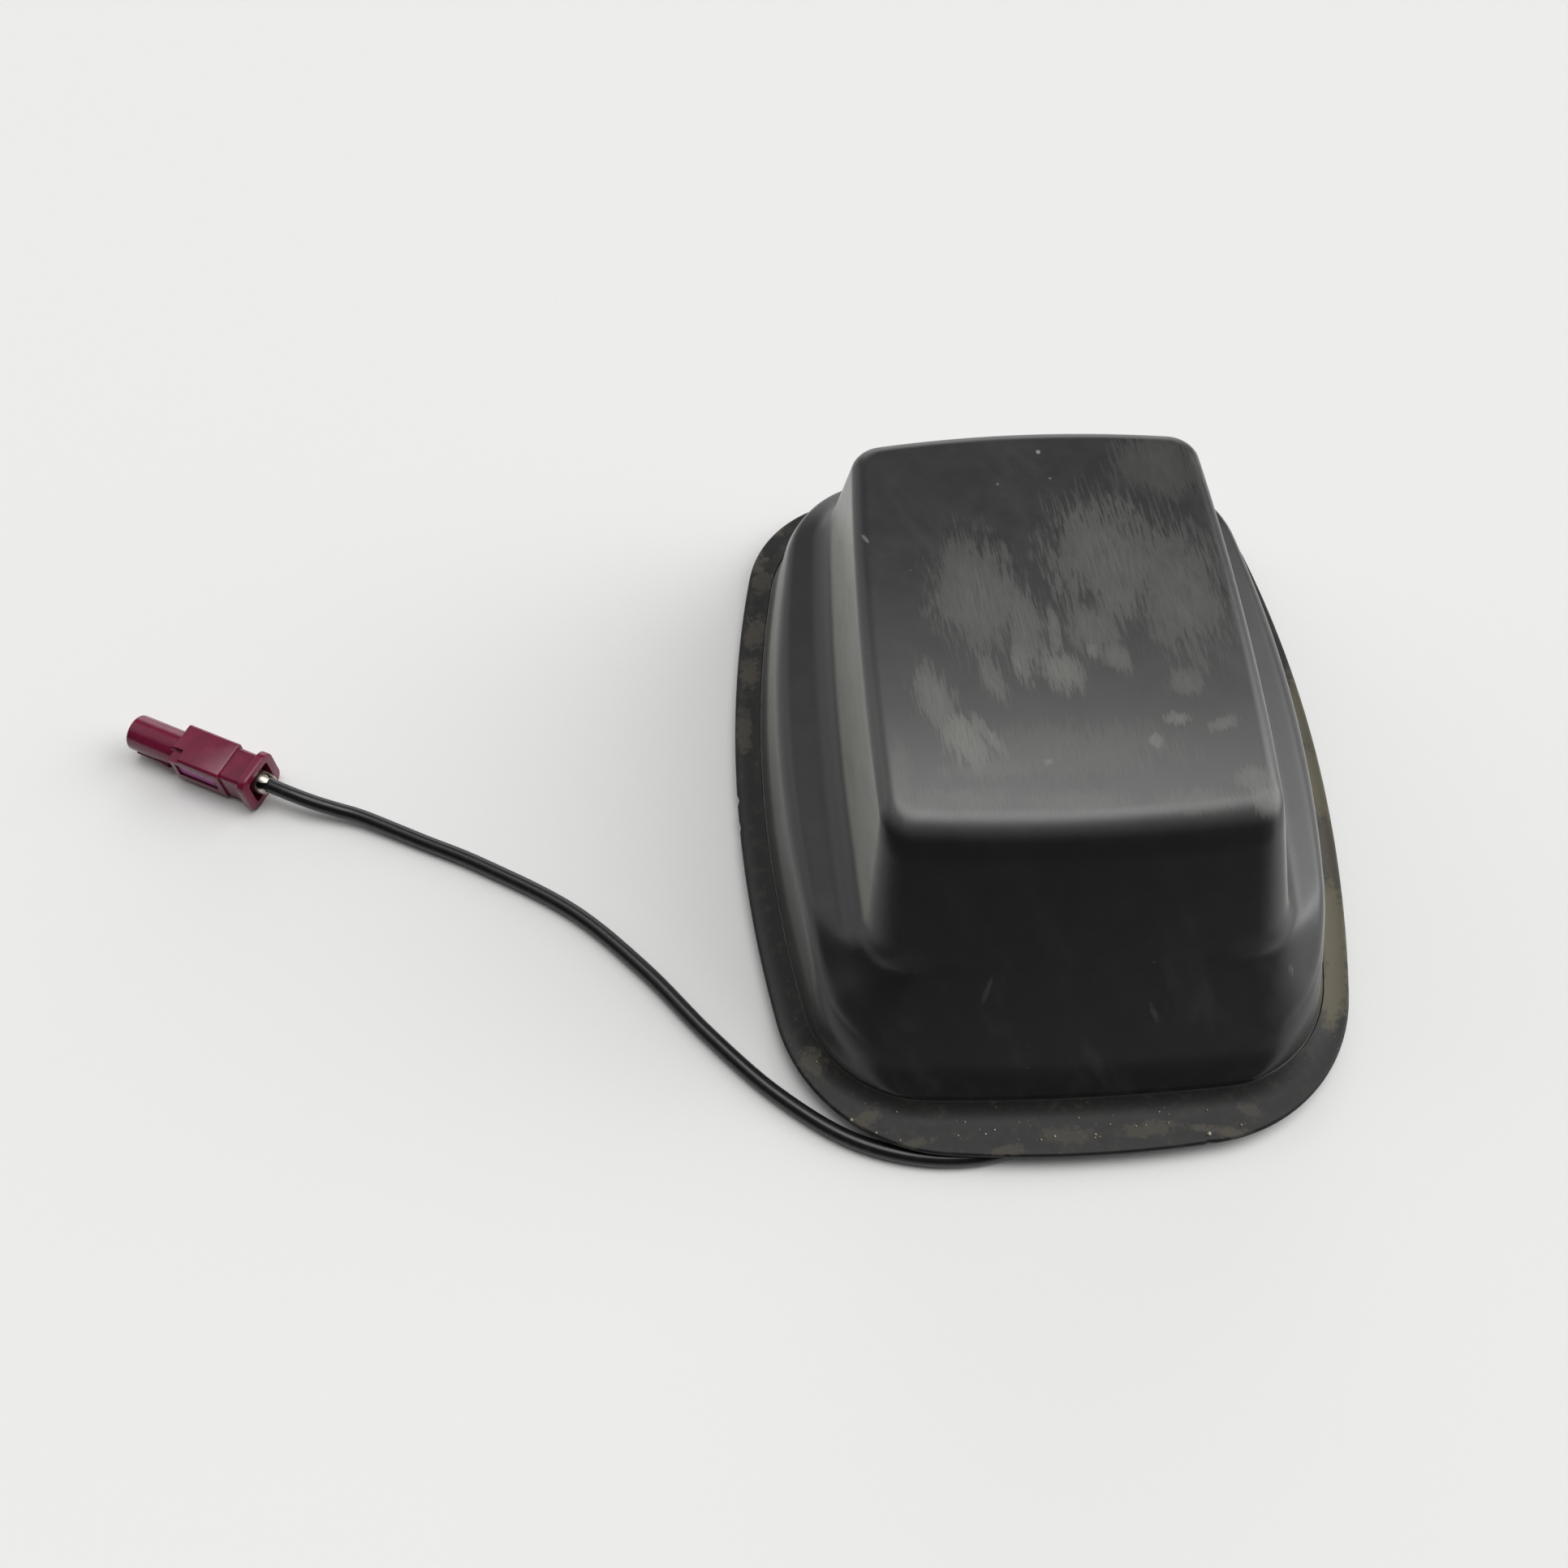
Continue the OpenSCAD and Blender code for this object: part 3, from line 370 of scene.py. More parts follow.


# Shell: fine-grained black moulding, scuffed on its top and dusty low down, with a painted highlight towards the
# crest and painted reflection on the steep walls
shellLook = {
    "plastic": (0.0068, 0.0068, 0.0072), "worn": (0.190, 0.187, 0.166),
    "dust": (0.070, 0.064, 0.052), "haze": (0.030, 0.030, 0.028),
    # painted highlight: the lighter colour that the top takes towards its crest
    "paintedCrestHighlight": (0.046, 0.046, 0.045),
    "film": {"Sheen Weight": 0.45, "Sheen Roughness": 0.30, "Sheen Tint": (0.90, 0.92, 0.84)},
    # the wall strength on this line paints the steep walls in the worn colour: partly a dusty film, mostly painted
    # reflection of the bright floor
    "roughness": 0.28, "wallDustAndReflection": 0.85, "smears": 0.5, "lowDust": 0.07,
    "topZ": 49.6, "topFade": (46.5, 48.6), "topWear": 0.82,
    "topMarks": [        # x, y, half width, half length, turn, strength
        (-14.3, 16.5, 9.3, 15.2, 0, 0.38), (-16.5, 25.7, 4.9, 6.1, 0, 0.2),
        (12.6, 24.2, 13.3, 17.0, 0, 0.40), (7.0, 8.5, 5.4, 7.7, 0, 0.38),
        (25.3, 17.5, 9.9, 17.7, 0, 0.34), (-6.2, 8.2, 4.1, 11.8, 0, 0.42),
        (-7.8, 0.7, 2.2, 5.4, 0, 0.58), (-0.6, -1.5, 3.9, 5.6, 20, 0.60),
        (-0.3, 7.0, 1.6, 7.7, 0, 0.45), (-25.4, -7.2, 4.0, 8.3, 12, 0.5),
        (-13.8, -2.8, 2.5, 6.3, 15, 0.42), (-20.6, -16.5, 3.9, 7.2, 22, 0.80),
        (-15.9, -15.5, 1.4, 6.4, 30, 0.6), (10.9, 0.8, 2.6, 4.2, 20, 0.42),
        (6.2, 2.8, 1.6, 2.7, 0, 0.5), (19.8, -13.7, 2.3, 1.6, 0, 0.55),
        (15.0, -18.3, 1.2, 1.6, 0, 0.75), (27.9, -15.4, 3.3, 1.6, 20, 0.42),
        (22.8, -5.6, 3.7, 3.7, 0, 0.3), (-1.0, -19.8, 19.5, 6.3, 0, 0.22),
        (-14.9, -22.6, 10.5, 2.3, 0, 0.35), (-5.5, -21.8, 1.0, 1.1, 0, 0.8),
        (33.2, -31.9, 2.4, 3.8, 10, 0.7), (31.7, -27.0, 3.6, 2.8, 0, 0.45),
        (26.5, 48.0, 10.1, 9.9, 0, 0.18), (-23.1, -29.1, 11.8, 2.7, 0, 0.35),
        (-1.0, -30.2, 10.3, 2.4, 0, 0.3), (21.1, -31.3, 8.9, 2.7, 0, 0.3),
        (-33.1, -24.3, 2.1, 8.5, 0, 0.25),
    ],
    "nicks": [(2.5, 53.3, 0.5, 0.6, 0, 1.0), (-35.3, 32.2, 0.4, 1.5, 25, 0.6),
              (4.0, 46.0, 0.3, 0.3, 0, 0.6), (-7.0, 45.0, 0.3, 0.4, 0, 0.5)],
    "slopeMarks": [(41.2, -53.8, 1.0, 1.6, 20, 0.5), (14.0, -60.0, 0.5, 1.6, 35, 0.12),
                   (-18.0, -56.0, 0.5, 2.0, -30, 0.12)],
}


def makeShellFinish(look):
    finish = Finish("shellFinish", IOR=1.6, **look["film"])
    up = finish.normal()[2]
    streaks = finish.ramp(finish.cloud(1.1, 4, 0.65, size=(0.45, 6.0, 1), turn=(0, 0, 4)),
                          0.34, 0.66)
    ragged = finish.cloud(0.14, 4, 0.6, size=(0.7, 1.4, 1)) * 0.6 + streaks * 0.4
    onTop = finish.ramp(finish.z, *look["topFade"])
    worn = finish.marks(look["topMarks"], look["topZ"], ragged, 1.9, 9.0) * look["topWear"]
    worn = worn * onTop * (0.55 + 0.45 * streaks)
    worn = greatest(worn, finish.marks(look["nicks"], look["topZ"]))
    for row in look["slopeMarks"]:
        z = footZ + (row[1] - footFront) * tangent(pod["slope"])
        worn = greatest(worn, finish.marks([row], z, ragged))
    fineDots = finish.specks(1.1, 0.16, 0.22) * 0.16 * finish.ramp(up, 0.3, 0.8)
    wideDots = finish.specks(0.30, 0.07, 0.20, (3, 7, 1)) * 0.35 * finish.ramp(up, 0.2, 0.8)
    smear = finish.ramp(finish.cloud(0.07, 4, 0.62, size=(0.5, 2.2, 1), turn=(0, 0, 32)),
                        0.50, 0.78)
    low = finish.ramp(finish.z, 12.0, 6.0)
    lower = finish.ramp(finish.z, 46.0, 8.0)
    dusty = low * finish.ramp(finish.cloud(0.20, 4, 0.6), 0.42, 0.70) * look["lowDust"]
    settled = finish.ramp(up, 0.90, 0.99) * finish.ramp(finish.cloud(0.12, 5, 0.65), 0.36, 0.72)
    shade = finish.tint(settled * 0.3 + lower * smear * look["smears"],
                        look["plastic"], look["haze"])
    shade = finish.tint(dusty, shade, look["dust"])
    # painted reflection and dust film: the steep walls above the shoulder take the worn colour, standing in for
    # the floor's reflection at grazing view
    steep = finish.ramp(up, 0.50, 0.25) * finish.ramp(finish.z, 24.0, 32.0)
    film = finish.ramp(finish.cloud(0.10, 3, 0.6, size=(1, 1.6, 0.6)), 0.2, 0.6, 0.6, 1.0)
    flanks = finish.ramp(finish.y, 64.0, 44.0, 0.12, 1.0)       # little of it on the rear
    shade = finish.tint(steep * flanks * film * look["wallDustAndReflection"], shade, look["worn"])
    # painted highlight: the top lightens towards the crest, standing in for the overhead light's reflection
    nearCrest = finish.ramp(finish.y, 34.0, -24.0) * onTop
    shade = finish.tint(nearCrest * (0.7 + 0.3 * film), shade, look["paintedCrestHighlight"])
    shade = finish.tint(greatest(worn, fineDots, wideDots), shade, look["worn"])
    rough = look["roughness"] + 0.08 * finish.cloud(0.25, 3)
    rough = rough + 0.22 * greatest(worn, dusty) + 0.05 * smear
    grain = finish.cloud(3.2, 2, 0.5) * 0.7 + finish.cloud(0.35, 2) * 0.3
    finish.relief(grain, 0.02, 0.5)
    return finish.paint(shade, rough)


# Rim: matt rubber with dust that has settled on its lip
rimLook = {
    "rubber": (0.0075, 0.0075, 0.0072), "dust": (0.105, 0.092, 0.068),
    "olive": (0.115, 0.103, 0.066), "pale": (0.20, 0.185, 0.155),
    "roughness": 0.44, "lipZ": 4.9,
    "leftMarks": [(-58, 63.3, 3.5, 5.0, 20, 0.5), (-55.4, 56, 2.6, 4.0, 0, 0.35),
                  (-57.9, 42.1, 2.8, 5.0, 0, 0.45), (-59.3, 31, 2.4, 5.0, 0, 0.45),
                  (-61.6, 16, 2.2, 6.0, 0, 0.4), (-52.7, 72.9, 3.6, 2.8, 0, 0.5),
                  (-51, -61.6, 2.6, 3.4, 30, 0.5)],
    "rightMarks": [(63.4, 13.9, 4.2, 13.0, 0, 0.65), (62.4, -3.7, 4.0, 12.0, 0, 0.75),
                   (61.2, -19.5, 3.2, 12.0, -6, 0.35), (57.2, -38.1, 4.2, 13.0, -10, 0.85),
                   (54.4, -51.0, 3.6, 9.0, -20, 0.8)],
    "frontMarks": [(-43, -74.4, 5.2, 1.8, 32, 0.45), (-33.5, -79.0, 5.0, 1.2, 14, 0.4),
                   (-15.0, -80.9, 4.6, 1.0, 4, 0.4), (-3.0, -78.6, 6.0, 1.8, -4, 0.34),
                   (12.6, -78.0, 6.6, 1.5, 3, 0.38), (27.5, -79.4, 6.0, 1.2, -10, 0.5),
                   (33.0, -75.4, 3.0, 1.5, -18, 0.34)],
}


def makeRimFinish(look):
    finish = Finish("rimFinish", IOR=1.5, **{"Specular IOR Level": 0.3})
    up = finish.normal()[2]
    ragged = finish.cloud(0.7, 4, 0.62)
    left = finish.marks(look["leftMarks"] + look["frontMarks"], look["lipZ"], ragged, 2.6)
    right = finish.marks(look["rightMarks"], look["lipZ"], ragged, 1.3)
    upward = finish.ramp(up, 0.2, 0.85)
    film = finish.ramp(finish.cloud(0.35, 5, 0.66), 0.48, 0.80) * upward * 0.22
    dots = finish.specks(0.8, 0.16, 0.22) * upward * 0.35
    shade = finish.tint(film, look["rubber"], look["dust"])
    shade = finish.tint(left * upward, shade, look["dust"])
    shade = finish.tint(right * upward, shade, look["olive"])
    shade = finish.tint(dots, shade, look["pale"])
    rough = look["roughness"] + 0.2 * film + 0.2 * greatest(left, right)
    rough = rough + 0.08 * finish.cloud(0.6)
    finish.relief(finish.cloud(2.4, 3, 0.6) * 0.7 + finish.cloud(0.4) * 0.3, 0.04, 0.6)
    return finish.paint(shade, rough)


# The plain finishes: two shades, roughness and its spread, the grain and mottle per mm
plainLooks = {
    "base": {"shades": ((0.34, 0.345, 0.35), (0.44, 0.44, 0.435)), "roughness": 0.5,
             "spread": 0.2, "grain": 1.6, "mottle": 0.25, "metallic": 0.9, "relief": 0.05},
    "foam": {"shades": ((0.030, 0.030, 0.030), (0.045, 0.044, 0.042)), "roughness": 0.9,
             "spread": 0.1, "grain": 2.4, "mottle": 0.8, "metallic": 0.0, "relief": 0.15},
    "insert": {"shades": ((0.70, 0.50, 0.22), (0.58, 0.40, 0.17)), "roughness": 0.3,
               "spread": 0.14, "grain": 2.0, "mottle": 0.5, "metallic": 1.0, "relief": 0.01,
               "size": (1, 1, 0.12)},
    "screw": {"shades": ((0.62, 0.63, 0.64), (0.50, 0.50, 0.49)), "roughness": 0.34,
              "spread": 0.14, "grain": 2.0, "mottle": 0.8, "metallic": 1.0, "relief": 0.01},
    "board": {"shades": ((0.018, 0.10, 0.040), (0.024, 0.13, 0.052)), "roughness": 0.35,
              "spread": 0.1, "grain": 0.9, "mottle": 0.3, "metallic": 0.0, "relief": 0.01},
    "can": {"shades": ((0.66, 0.67, 0.67), (0.56, 0.56, 0.55)), "roughness": 0.3,
            "spread": 0.16, "grain": 1.2, "mottle": 0.3, "metallic": 1.0, "relief": 0.008,
            "size": (0.3, 2, 1)},
    "element": {"shades": ((0.72, 0.57, 0.28), (0.60, 0.45, 0.20)), "roughness": 0.32,
                "spread": 0.14, "grain": 1.5, "mottle": 0.2, "metallic": 1.0, "relief": 0.008,
                "size": (0.25, 3, 1)},
    "carrier": {"shades": ((0.62, 0.59, 0.50), (0.55, 0.52, 0.43)), "roughness": 0.5,
                "spread": 0.1, "grain": 1.6, "mottle": 0.2, "metallic": 0.0, "relief": 0.015},
    "grommet": {"shades": ((0.016, 0.016, 0.016), (0.024, 0.023, 0.022)), "roughness": 0.6,
                "spread": 0.1, "grain": 2.0, "mottle": 0.5, "metallic": 0.0, "relief": 0.02},
    "ferrule": {"shades": ((0.60, 0.57, 0.50), (0.42, 0.39, 0.33)), "roughness": 0.36,
                "spread": 0.2, "grain": 1.6, "mottle": 0.9, "metallic": 1.0, "relief": 0.015},
    "contact": {"shades": ((0.78, 0.62, 0.30), (0.66, 0.50, 0.22)), "roughness": 0.28,
                "spread": 0.12, "grain": 2.0, "mottle": 0.8, "metallic": 1.0, "relief": 0.006},
    "insulator": {"shades": ((0.76, 0.75, 0.70), (0.70, 0.69, 0.64)), "roughness": 0.45,
                  "spread": 0.08, "grain": 1.5, "mottle": 0.6, "metallic": 0.0,
                  "relief": 0.01},
}


def makePlainFinish(name, shades, roughness, spread, grain, mottle, metallic, relief,
                    size=(1, 1, 1)):
    finish = Finish(name, Metallic=metallic)
    patches = finish.ramp(finish.cloud(mottle, 4, 0.6, size=size), 0.35, 0.7)
    fine = finish.cloud(grain, 3, 0.55, size=size)
    rough = roughness - spread / 2 + spread * (0.5 * patches + 0.5 * fine)
    finish.relief(fine, relief, 0.6)
    return finish.paint(finish.tint(patches, *shades), rough)


finishes = {slot: makePlainFinish(slot + "Finish", **look) for slot, look in plainLooks.items()}
finishes["shell"] = makeShellFinish(shellLook)
finishes["rim"] = makeRimFinish(rimLook)

# The lead's jacket and the connector's two mouldings
leadLook = {"jacket": (0.0065, 0.0065, 0.007), "dust": (0.060, 0.056, 0.048), "roughness": 0.24}
plugLooks = {
    "housing": {"deep": (0.125, 0.005, 0.026), "bright": (0.200, 0.010, 0.046),
                "roughness": 0.15},
    "lock": {"deep": (0.36, 0.085, 0.26), "bright": (0.44, 0.11, 0.32), "roughness": 0.26},
}
scuffTurn = -26.4        # the scuffs run along the connector


def makeLeadFinish(look):
    finish = Finish("leadFinish", IOR=1.5)
    dust = finish.ramp(finish.cloud(0.6, 5, 0.65), 0.50, 0.80) * 0.22
    dots = finish.specks(0.9, 0.15, 0.15) * 0.3
    shade = finish.tint(greatest(dust, dots), look["jacket"], look["dust"])
    rough = look["roughness"] + 0.12 * finish.cloud(0.8, 3) + 0.3 * dust
    finish.relief(finish.cloud(0.9, 3, 0.6), 0.06, 0.4)
    return finish.paint(shade, rough)


def makePlugFinish(name, deep, bright, roughness):
    finish = Finish(name, IOR=1.5)
    patches = finish.ramp(finish.cloud(0.35, 3), 0.3, 0.7)
    scuffs = finish.ramp(finish.cloud(1.8, 4, 0.7, size=(3, 0.5, 1), turn=(0, 0, scuffTurn)),
                         0.62, 0.80) * 0.22
    shade = finish.tint(patches * 0.5, deep, bright)
    shade = finish.tint(scuffs, shade, tuple(c * 1.8 + 0.05 for c in bright))
    rough = roughness + 0.12 * finish.cloud(1.2, 3) + 0.3 * scuffs
    finish.relief(finish.cloud(2.6, 2), 0.012, 0.5)
    return finish.paint(shade, rough)


finishes["lead"] = makeLeadFinish(leadLook)
for slot, look in plugLooks.items():
    finishes[slot] = makePlugFinish(slot + "Finish", **look)

for part in frame["record"]["subparts"]:
    setFinish(frame["nodes"][part["node"]], part["material_slot"])
print("finishes made")


# The lead: the route of the part's source, then a tube along it
lead = {
    "diameter": 3.2,
    "steps": 8,          # points for each stretch of the route
    "sides": 28,
    "exit": (14, -22, 2.9),
    "route": [
        (14, -27, 2.8), (14.5, -39, 1.9), (13.8, -51, 1.6), (9, -62.5, 1.6),
        (0, -72.5, 1.6), (-13, -79.6, 1.6), (-28, -80.8, 1.6), (-43.5, -76.5, 1.6),
        (-58, -66.5, 1.6), (-71, -53.5, 1.6), (-84, -38.5, 1.6), (-99, -24.5, 1.6),
        (-118, -13, 1.6), (-131, -6.6, 1.7), (-143.6, -0.6, 2.3), (-149.3, 1.3, 3),
        (-154.1, 2.7, 4), (-158.9, 4.5, 4.9),
    ],
}

# The connector's place and the stations along its axis, from the tip of its nose
plug = {
    "tip": (-194.4, 22.0, 5.3), "turn": 26.4,
    "noseD": 8.0, "noseL": 12.2, "noseBore": 6.4, "noseDepth": 9.0,
    "bodyL": 12.8, "bodyW": 9.4, "bodyH": 9.0,
    "neckL": 5.2, "neckW": 8.4, "neckH": 8.0,
    "collarL": 1.8, "collarW": 10.8, "collarH": 10.6, "collarCorner": 2.4,
    "pocketW": 6.8, "pocketL": 5.6,
    # the coding on the nose, then the lock's window and the notch in the body
    "bladeT": 0.6, "bladeH": 0.7, "bladeBack": 0.8,
    "rampTurn": 116, "rampL": 4.4, "rampW": 1.6, "rampH": 0.6, "rampBack": 2.0,
    "windowL": 10.0, "windowH": 4.2, "windowRise": 0.2, "windowBack": 1.3, "windowD": 1.8,
    "notchL": 2.6, "notchW": 3.0, "notchH": 1.2,
    "lockBack": 0.4, "lockGap": 0.15,
    "sleeveD": 4.6, "gap": 0.1,
    # rounded edges and corners, and how far neighbours lap
    "noseEdge": 0.35, "boreEdge": 0.3, "bodyEdge": 0.28, "bodyCorner": 0.9,
    "neckLap": 0.5, "neckCorner": 1.1, "collarEdge": 0.22, "pocketCorner": 0.8,
    "bladeTurns": (135, 225), "bladeEdge": 0.08, "bladeLap": 0.2, "rampSink": 0.2,
    "lockEdge": 0.12, "past": 1.0,       # how far a cutter reaches past what it cuts
    # the crimp's sleeve and claws
    "ferruleD": 5.0, "ferruleL": 10.0, "ferruleWall": 0.5, "clawL": 2.2, "clawGap": 1.6,
    "clawSteps": (7, 8), "clawFrom": 0.55, "clawNarrow": 0.35, "clawDip": 0.35,
    "clawInner": 0.9,
}
bodyEnd = plug["noseL"] + plug["bodyL"]
neckEnd = bodyEnd + plug["neckL"]
collarEnd = neckEnd + plug["collarL"]
clawEnd = collarEnd + plug["clawL"]
ferruleStart = clawEnd - plug["ferruleL"]
plugPlace = (Matrix.Translation(Vector(plug["tip"]))
             @ Matrix.Rotation(math.radians(-plug["turn"]), 4, "Z"))


def onAxis(s):
    return plugPlace @ Vector((s, 0, 0))


def makeLeadTree():
    tree = newTree("tubeAlongRoute", [
        ("Diameter", "NodeSocketFloat", 0.0032), ("Sides", "NodeSocketInt", 24),
        ("Finish", "NodeSocketMaterial", None),
    ])
    given = treeNode(tree, "NodeGroupInput")
    line = treeNode(tree, "GeometryNodeMeshToCurve", {}, {"Mesh": given.outputs["Geometry"]})
    half = treeNode(tree, "ShaderNodeMath", {"operation": "MULTIPLY"},
                    {0: given.outputs["Diameter"], 1: 0.5})
    ring = treeNode(tree, "GeometryNodeCurvePrimitiveCircle", {"mode": "RADIUS"}, {
        "Resolution": given.outputs["Sides"], "Radius": half.outputs[0]})
    tube = treeNode(tree, "GeometryNodeCurveToMesh", {}, {
        "Curve": line.outputs[0], "Profile Curve": ring.outputs[0], "Fill Caps": True})
    return endTree(tree, tube.outputs[0], given.outputs["Finish"])


leadPoints = [p * mm for p in throughPoints(
    [lead["exit"]] + lead["route"] + [onAxis(clawEnd), onAxis(neckEnd)], lead["steps"])]
leadLength = sum((b - a).length for a, b in zip(leadPoints, leadPoints[1:]))
leadMesh = bpy.data.meshes.new("antennaCable")
leadMesh.from_pydata([tuple(p) for p in leadPoints],
                     [(i, i + 1) for i in range(len(leadPoints) - 1)], [])
cable = addPiece("antennaCable", leadMesh)
runTree(cable, makeLeadTree(), {
    "Diameter": lead["diameter"] * mm, "Sides": lead["sides"], "Finish": finishes["lead"]})
cable.data.polygons.foreach_set(
    "use_smooth", [len(face.vertices) == 4 for face in cable.data.polygons])
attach(cable, "root")
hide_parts("antenna_lead")
print(f"lead made, {leadLength * 1000:.1f} mm long")


def revolved(name, profile, sides=56):
    # a closed profile of (station, radius) turned round the connector's axis, for the
    # nose, the bore and the crimp's sleeve
    points, faces = [], []
    for s, r in profile:
        for i in range(sides):
            a = 2 * math.pi * i / sides
            points.append(Vector((s, r * math.cos(a), r * math.sin(a))))
    for j in range(len(profile)):
        after = (j + 1) % len(profile)
        for i in range(sides):
            k = (i + 1) % sides
            faces.append((j * sides + i, after * sides + i, after * sides + k, j * sides + k))
    return meshOf(name, [plugPlace @ p for p in points], faces)


def blockMesh(name, start, end, width, height, bevel=0.0, corner=None, turn=0.0, middle=(0, 0)):
    # a block along the connector's axis with rounded edges
    shape = bmesh.new()
    bmesh.ops.create_cube(shape, size=1.0)
    bmesh.ops.scale(shape, vec=(end - start, width, height), verts=shape.verts)
    if corner:
        long = [e for e in shape.edges
                if abs((e.verts[0].co - e.verts[1].co).normalized().x) > 0.9]
        bmesh.ops.bevel(shape, geom=long, offset=corner, segments=8, profile=0.5,
                        affect="EDGES")
    if bevel:
        sharp = [e for e in shape.edges if len(e.link_faces) == 2
                 and e.calc_face_angle() > math.radians(30)]
        bmesh.ops.bevel(shape, geom=sharp, offset=bevel, segments=3, profile=0.5,
                        affect="EDGES")
    bmesh.ops.translate(shape, vec=((start + end) / 2, middle[0], middle[1]), verts=shape.verts)
    bmesh.ops.rotate(shape, matrix=Matrix.Rotation(math.radians(turn), 3, "X"),
                     verts=shape.verts)
    bmesh.ops.transform(shape, matrix=Matrix.Scale(mm, 4) @ plugPlace, verts=shape.verts)
    mesh = bpy.data.meshes.new(name)
    shape.to_mesh(mesh)
    shape.free()
    return mesh


def carve(piece, mesh, operation):
    tool = addPiece("tool", mesh)
    modifier = piece.modifiers.new("carve", "BOOLEAN")
    modifier.operation = operation
    modifier.solver = "EXACT"
    modifier.object = tool
    bakeModifiers(piece)
    bpy.data.objects.remove(tool)


def rounding(s, r, radius, inner=False, steps=4):
    # a rounded tip of a tube's wall, at station s
    sign = -1 if inner else 1
    made = []
    for i in range(steps + 1):
        a = math.pi / 2 * i / steps
        made.append((s + radius * (1 - math.sin(a)), r - sign * radius * (1 - math.cos(a))))
    return made


def makeRamp():
    # a small wedge on the nose, which rises away from the tip
    g = plug
    start, end = g["noseL"] - g["rampBack"] - g["rampL"], g["noseL"] - g["rampBack"]
    wedge = blockMesh("ramp", start, end, g["rampW"], 2 * g["rampH"], 0, None, g["rampTurn"],
                      (0, g["noseD"] / 2))
    front = onAxis(start) * mm
    axis = (onAxis(1) - onAxis(0)).normalized()
    outward = (Matrix.Rotation(math.radians(-g["turn"]), 3, "Z")
               @ Matrix.Rotation(math.radians(g["rampTurn"]), 3, "X") @ Vector((0, 0, 1)))
    for v in wedge.vertices:
        above = (v.co - front).dot(outward) - g["noseD"] / 2 * mm
        if (v.co - front).dot(axis) < mm and above > 0:
            v.co -= outward * (above + g["rampSink"] * mm)
    return wedge


def makeHousing():
    g = plug
    rOut, rBore, rIn = g["noseD"] / 2, g["noseBore"] / 2, g["sleeveD"] / 2 + g["gap"]
    profile = ([(g["noseL"] + 1, rIn), (g["noseL"] + 1, rOut)]
               + rounding(0, rOut, g["noseEdge"])
               + rounding(0, rBore, g["noseEdge"], True)[::-1]
               + [(g["noseDepth"] - g["boreEdge"], rBore),
                  (g["noseDepth"], rBore - g["boreEdge"]), (g["noseDepth"], rIn)])
    piece = addPiece("connectorHousing", revolved("connectorHousing", profile))
    added = [            # start, end, width, height, rounded edge, corner, turn, middle
        (g["noseL"], bodyEnd, g["bodyW"], g["bodyH"], g["bodyEdge"], g["bodyCorner"]),
        (bodyEnd - g["neckLap"], neckEnd + g["neckLap"], g["neckW"], g["neckH"], 0,
         g["neckCorner"]),
        (neckEnd, collarEnd, g["collarW"], g["collarH"], g["collarEdge"], g["collarCorner"]),
    ]
    added += [(g["bladeBack"], g["noseL"] + g["bladeLap"], g["bladeT"], 2 * g["bladeH"],
               g["bladeEdge"], None, turn, (0, rOut)) for turn in g["bladeTurns"]]
    for block in added:
        carve(piece, blockMesh("added", *block), "UNION")
    carve(piece, makeRamp(), "UNION")
    boreStart, past = g["noseDepth"] - g["past"], g["past"]
    carve(piece, revolved("cutter", [(collarEnd + past, 0.01), (collarEnd + past, rIn),
                                     (boreStart, rIn), (boreStart, 0.01)]), "DIFFERENCE")
    windowX = g["noseL"] + g["windowBack"]
    cut = [
        (collarEnd - g["pocketL"], collarEnd + past, g["pocketW"], g["pocketW"], 0,
         g["pocketCorner"]),
        (windowX, windowX + g["windowL"], 2 * g["windowD"], g["windowH"], 0, None, 0,
         (-g["bodyW"] / 2, g["windowRise"])),
        (g["noseL"] - past, g["noseL"] + g["notchL"], 2 * g["notchW"], 2 * g["notchH"], 0,
         None, 0, (-g["bodyW"] / 2, g["bodyH"] / 2)),
    ]
    for block in cut:
        carve(piece, blockMesh("cutter", *block), "DIFFERENCE")
    return piece


housing = dress(makeHousing(), "housing", ["connector_housing"], 30)
print("housing made,", len(housing.data.polygons), "faces")


def makeLock():
    g = plug
    long, high = g["windowL"] - 2 * g["lockGap"], g["windowH"] - 2 * g["lockGap"]
    start = g["noseL"] + g["windowBack"] + g["lockGap"]
    depth = g["windowD"] - g["lockBack"]
    side = g["lockBack"] - g["bodyW"] / 2
    piece = addPiece("connectorLock", blockMesh(
        "connectorLock", start, start + long, depth, high, g["lockEdge"], None, 0,
        (side + depth / 2, g["windowRise"])))
    carve(piece, blockMesh("cutter", start + long - 2 * g["lockBack"], start + long + g["past"],
                           2 * g["lockBack"], high, 0, None, 0,
                           (side, g["windowRise"] - high / 2)), "DIFFERENCE")
    return piece


lock = dress(makeLock(), "lock", ["connector_lock"], 30)


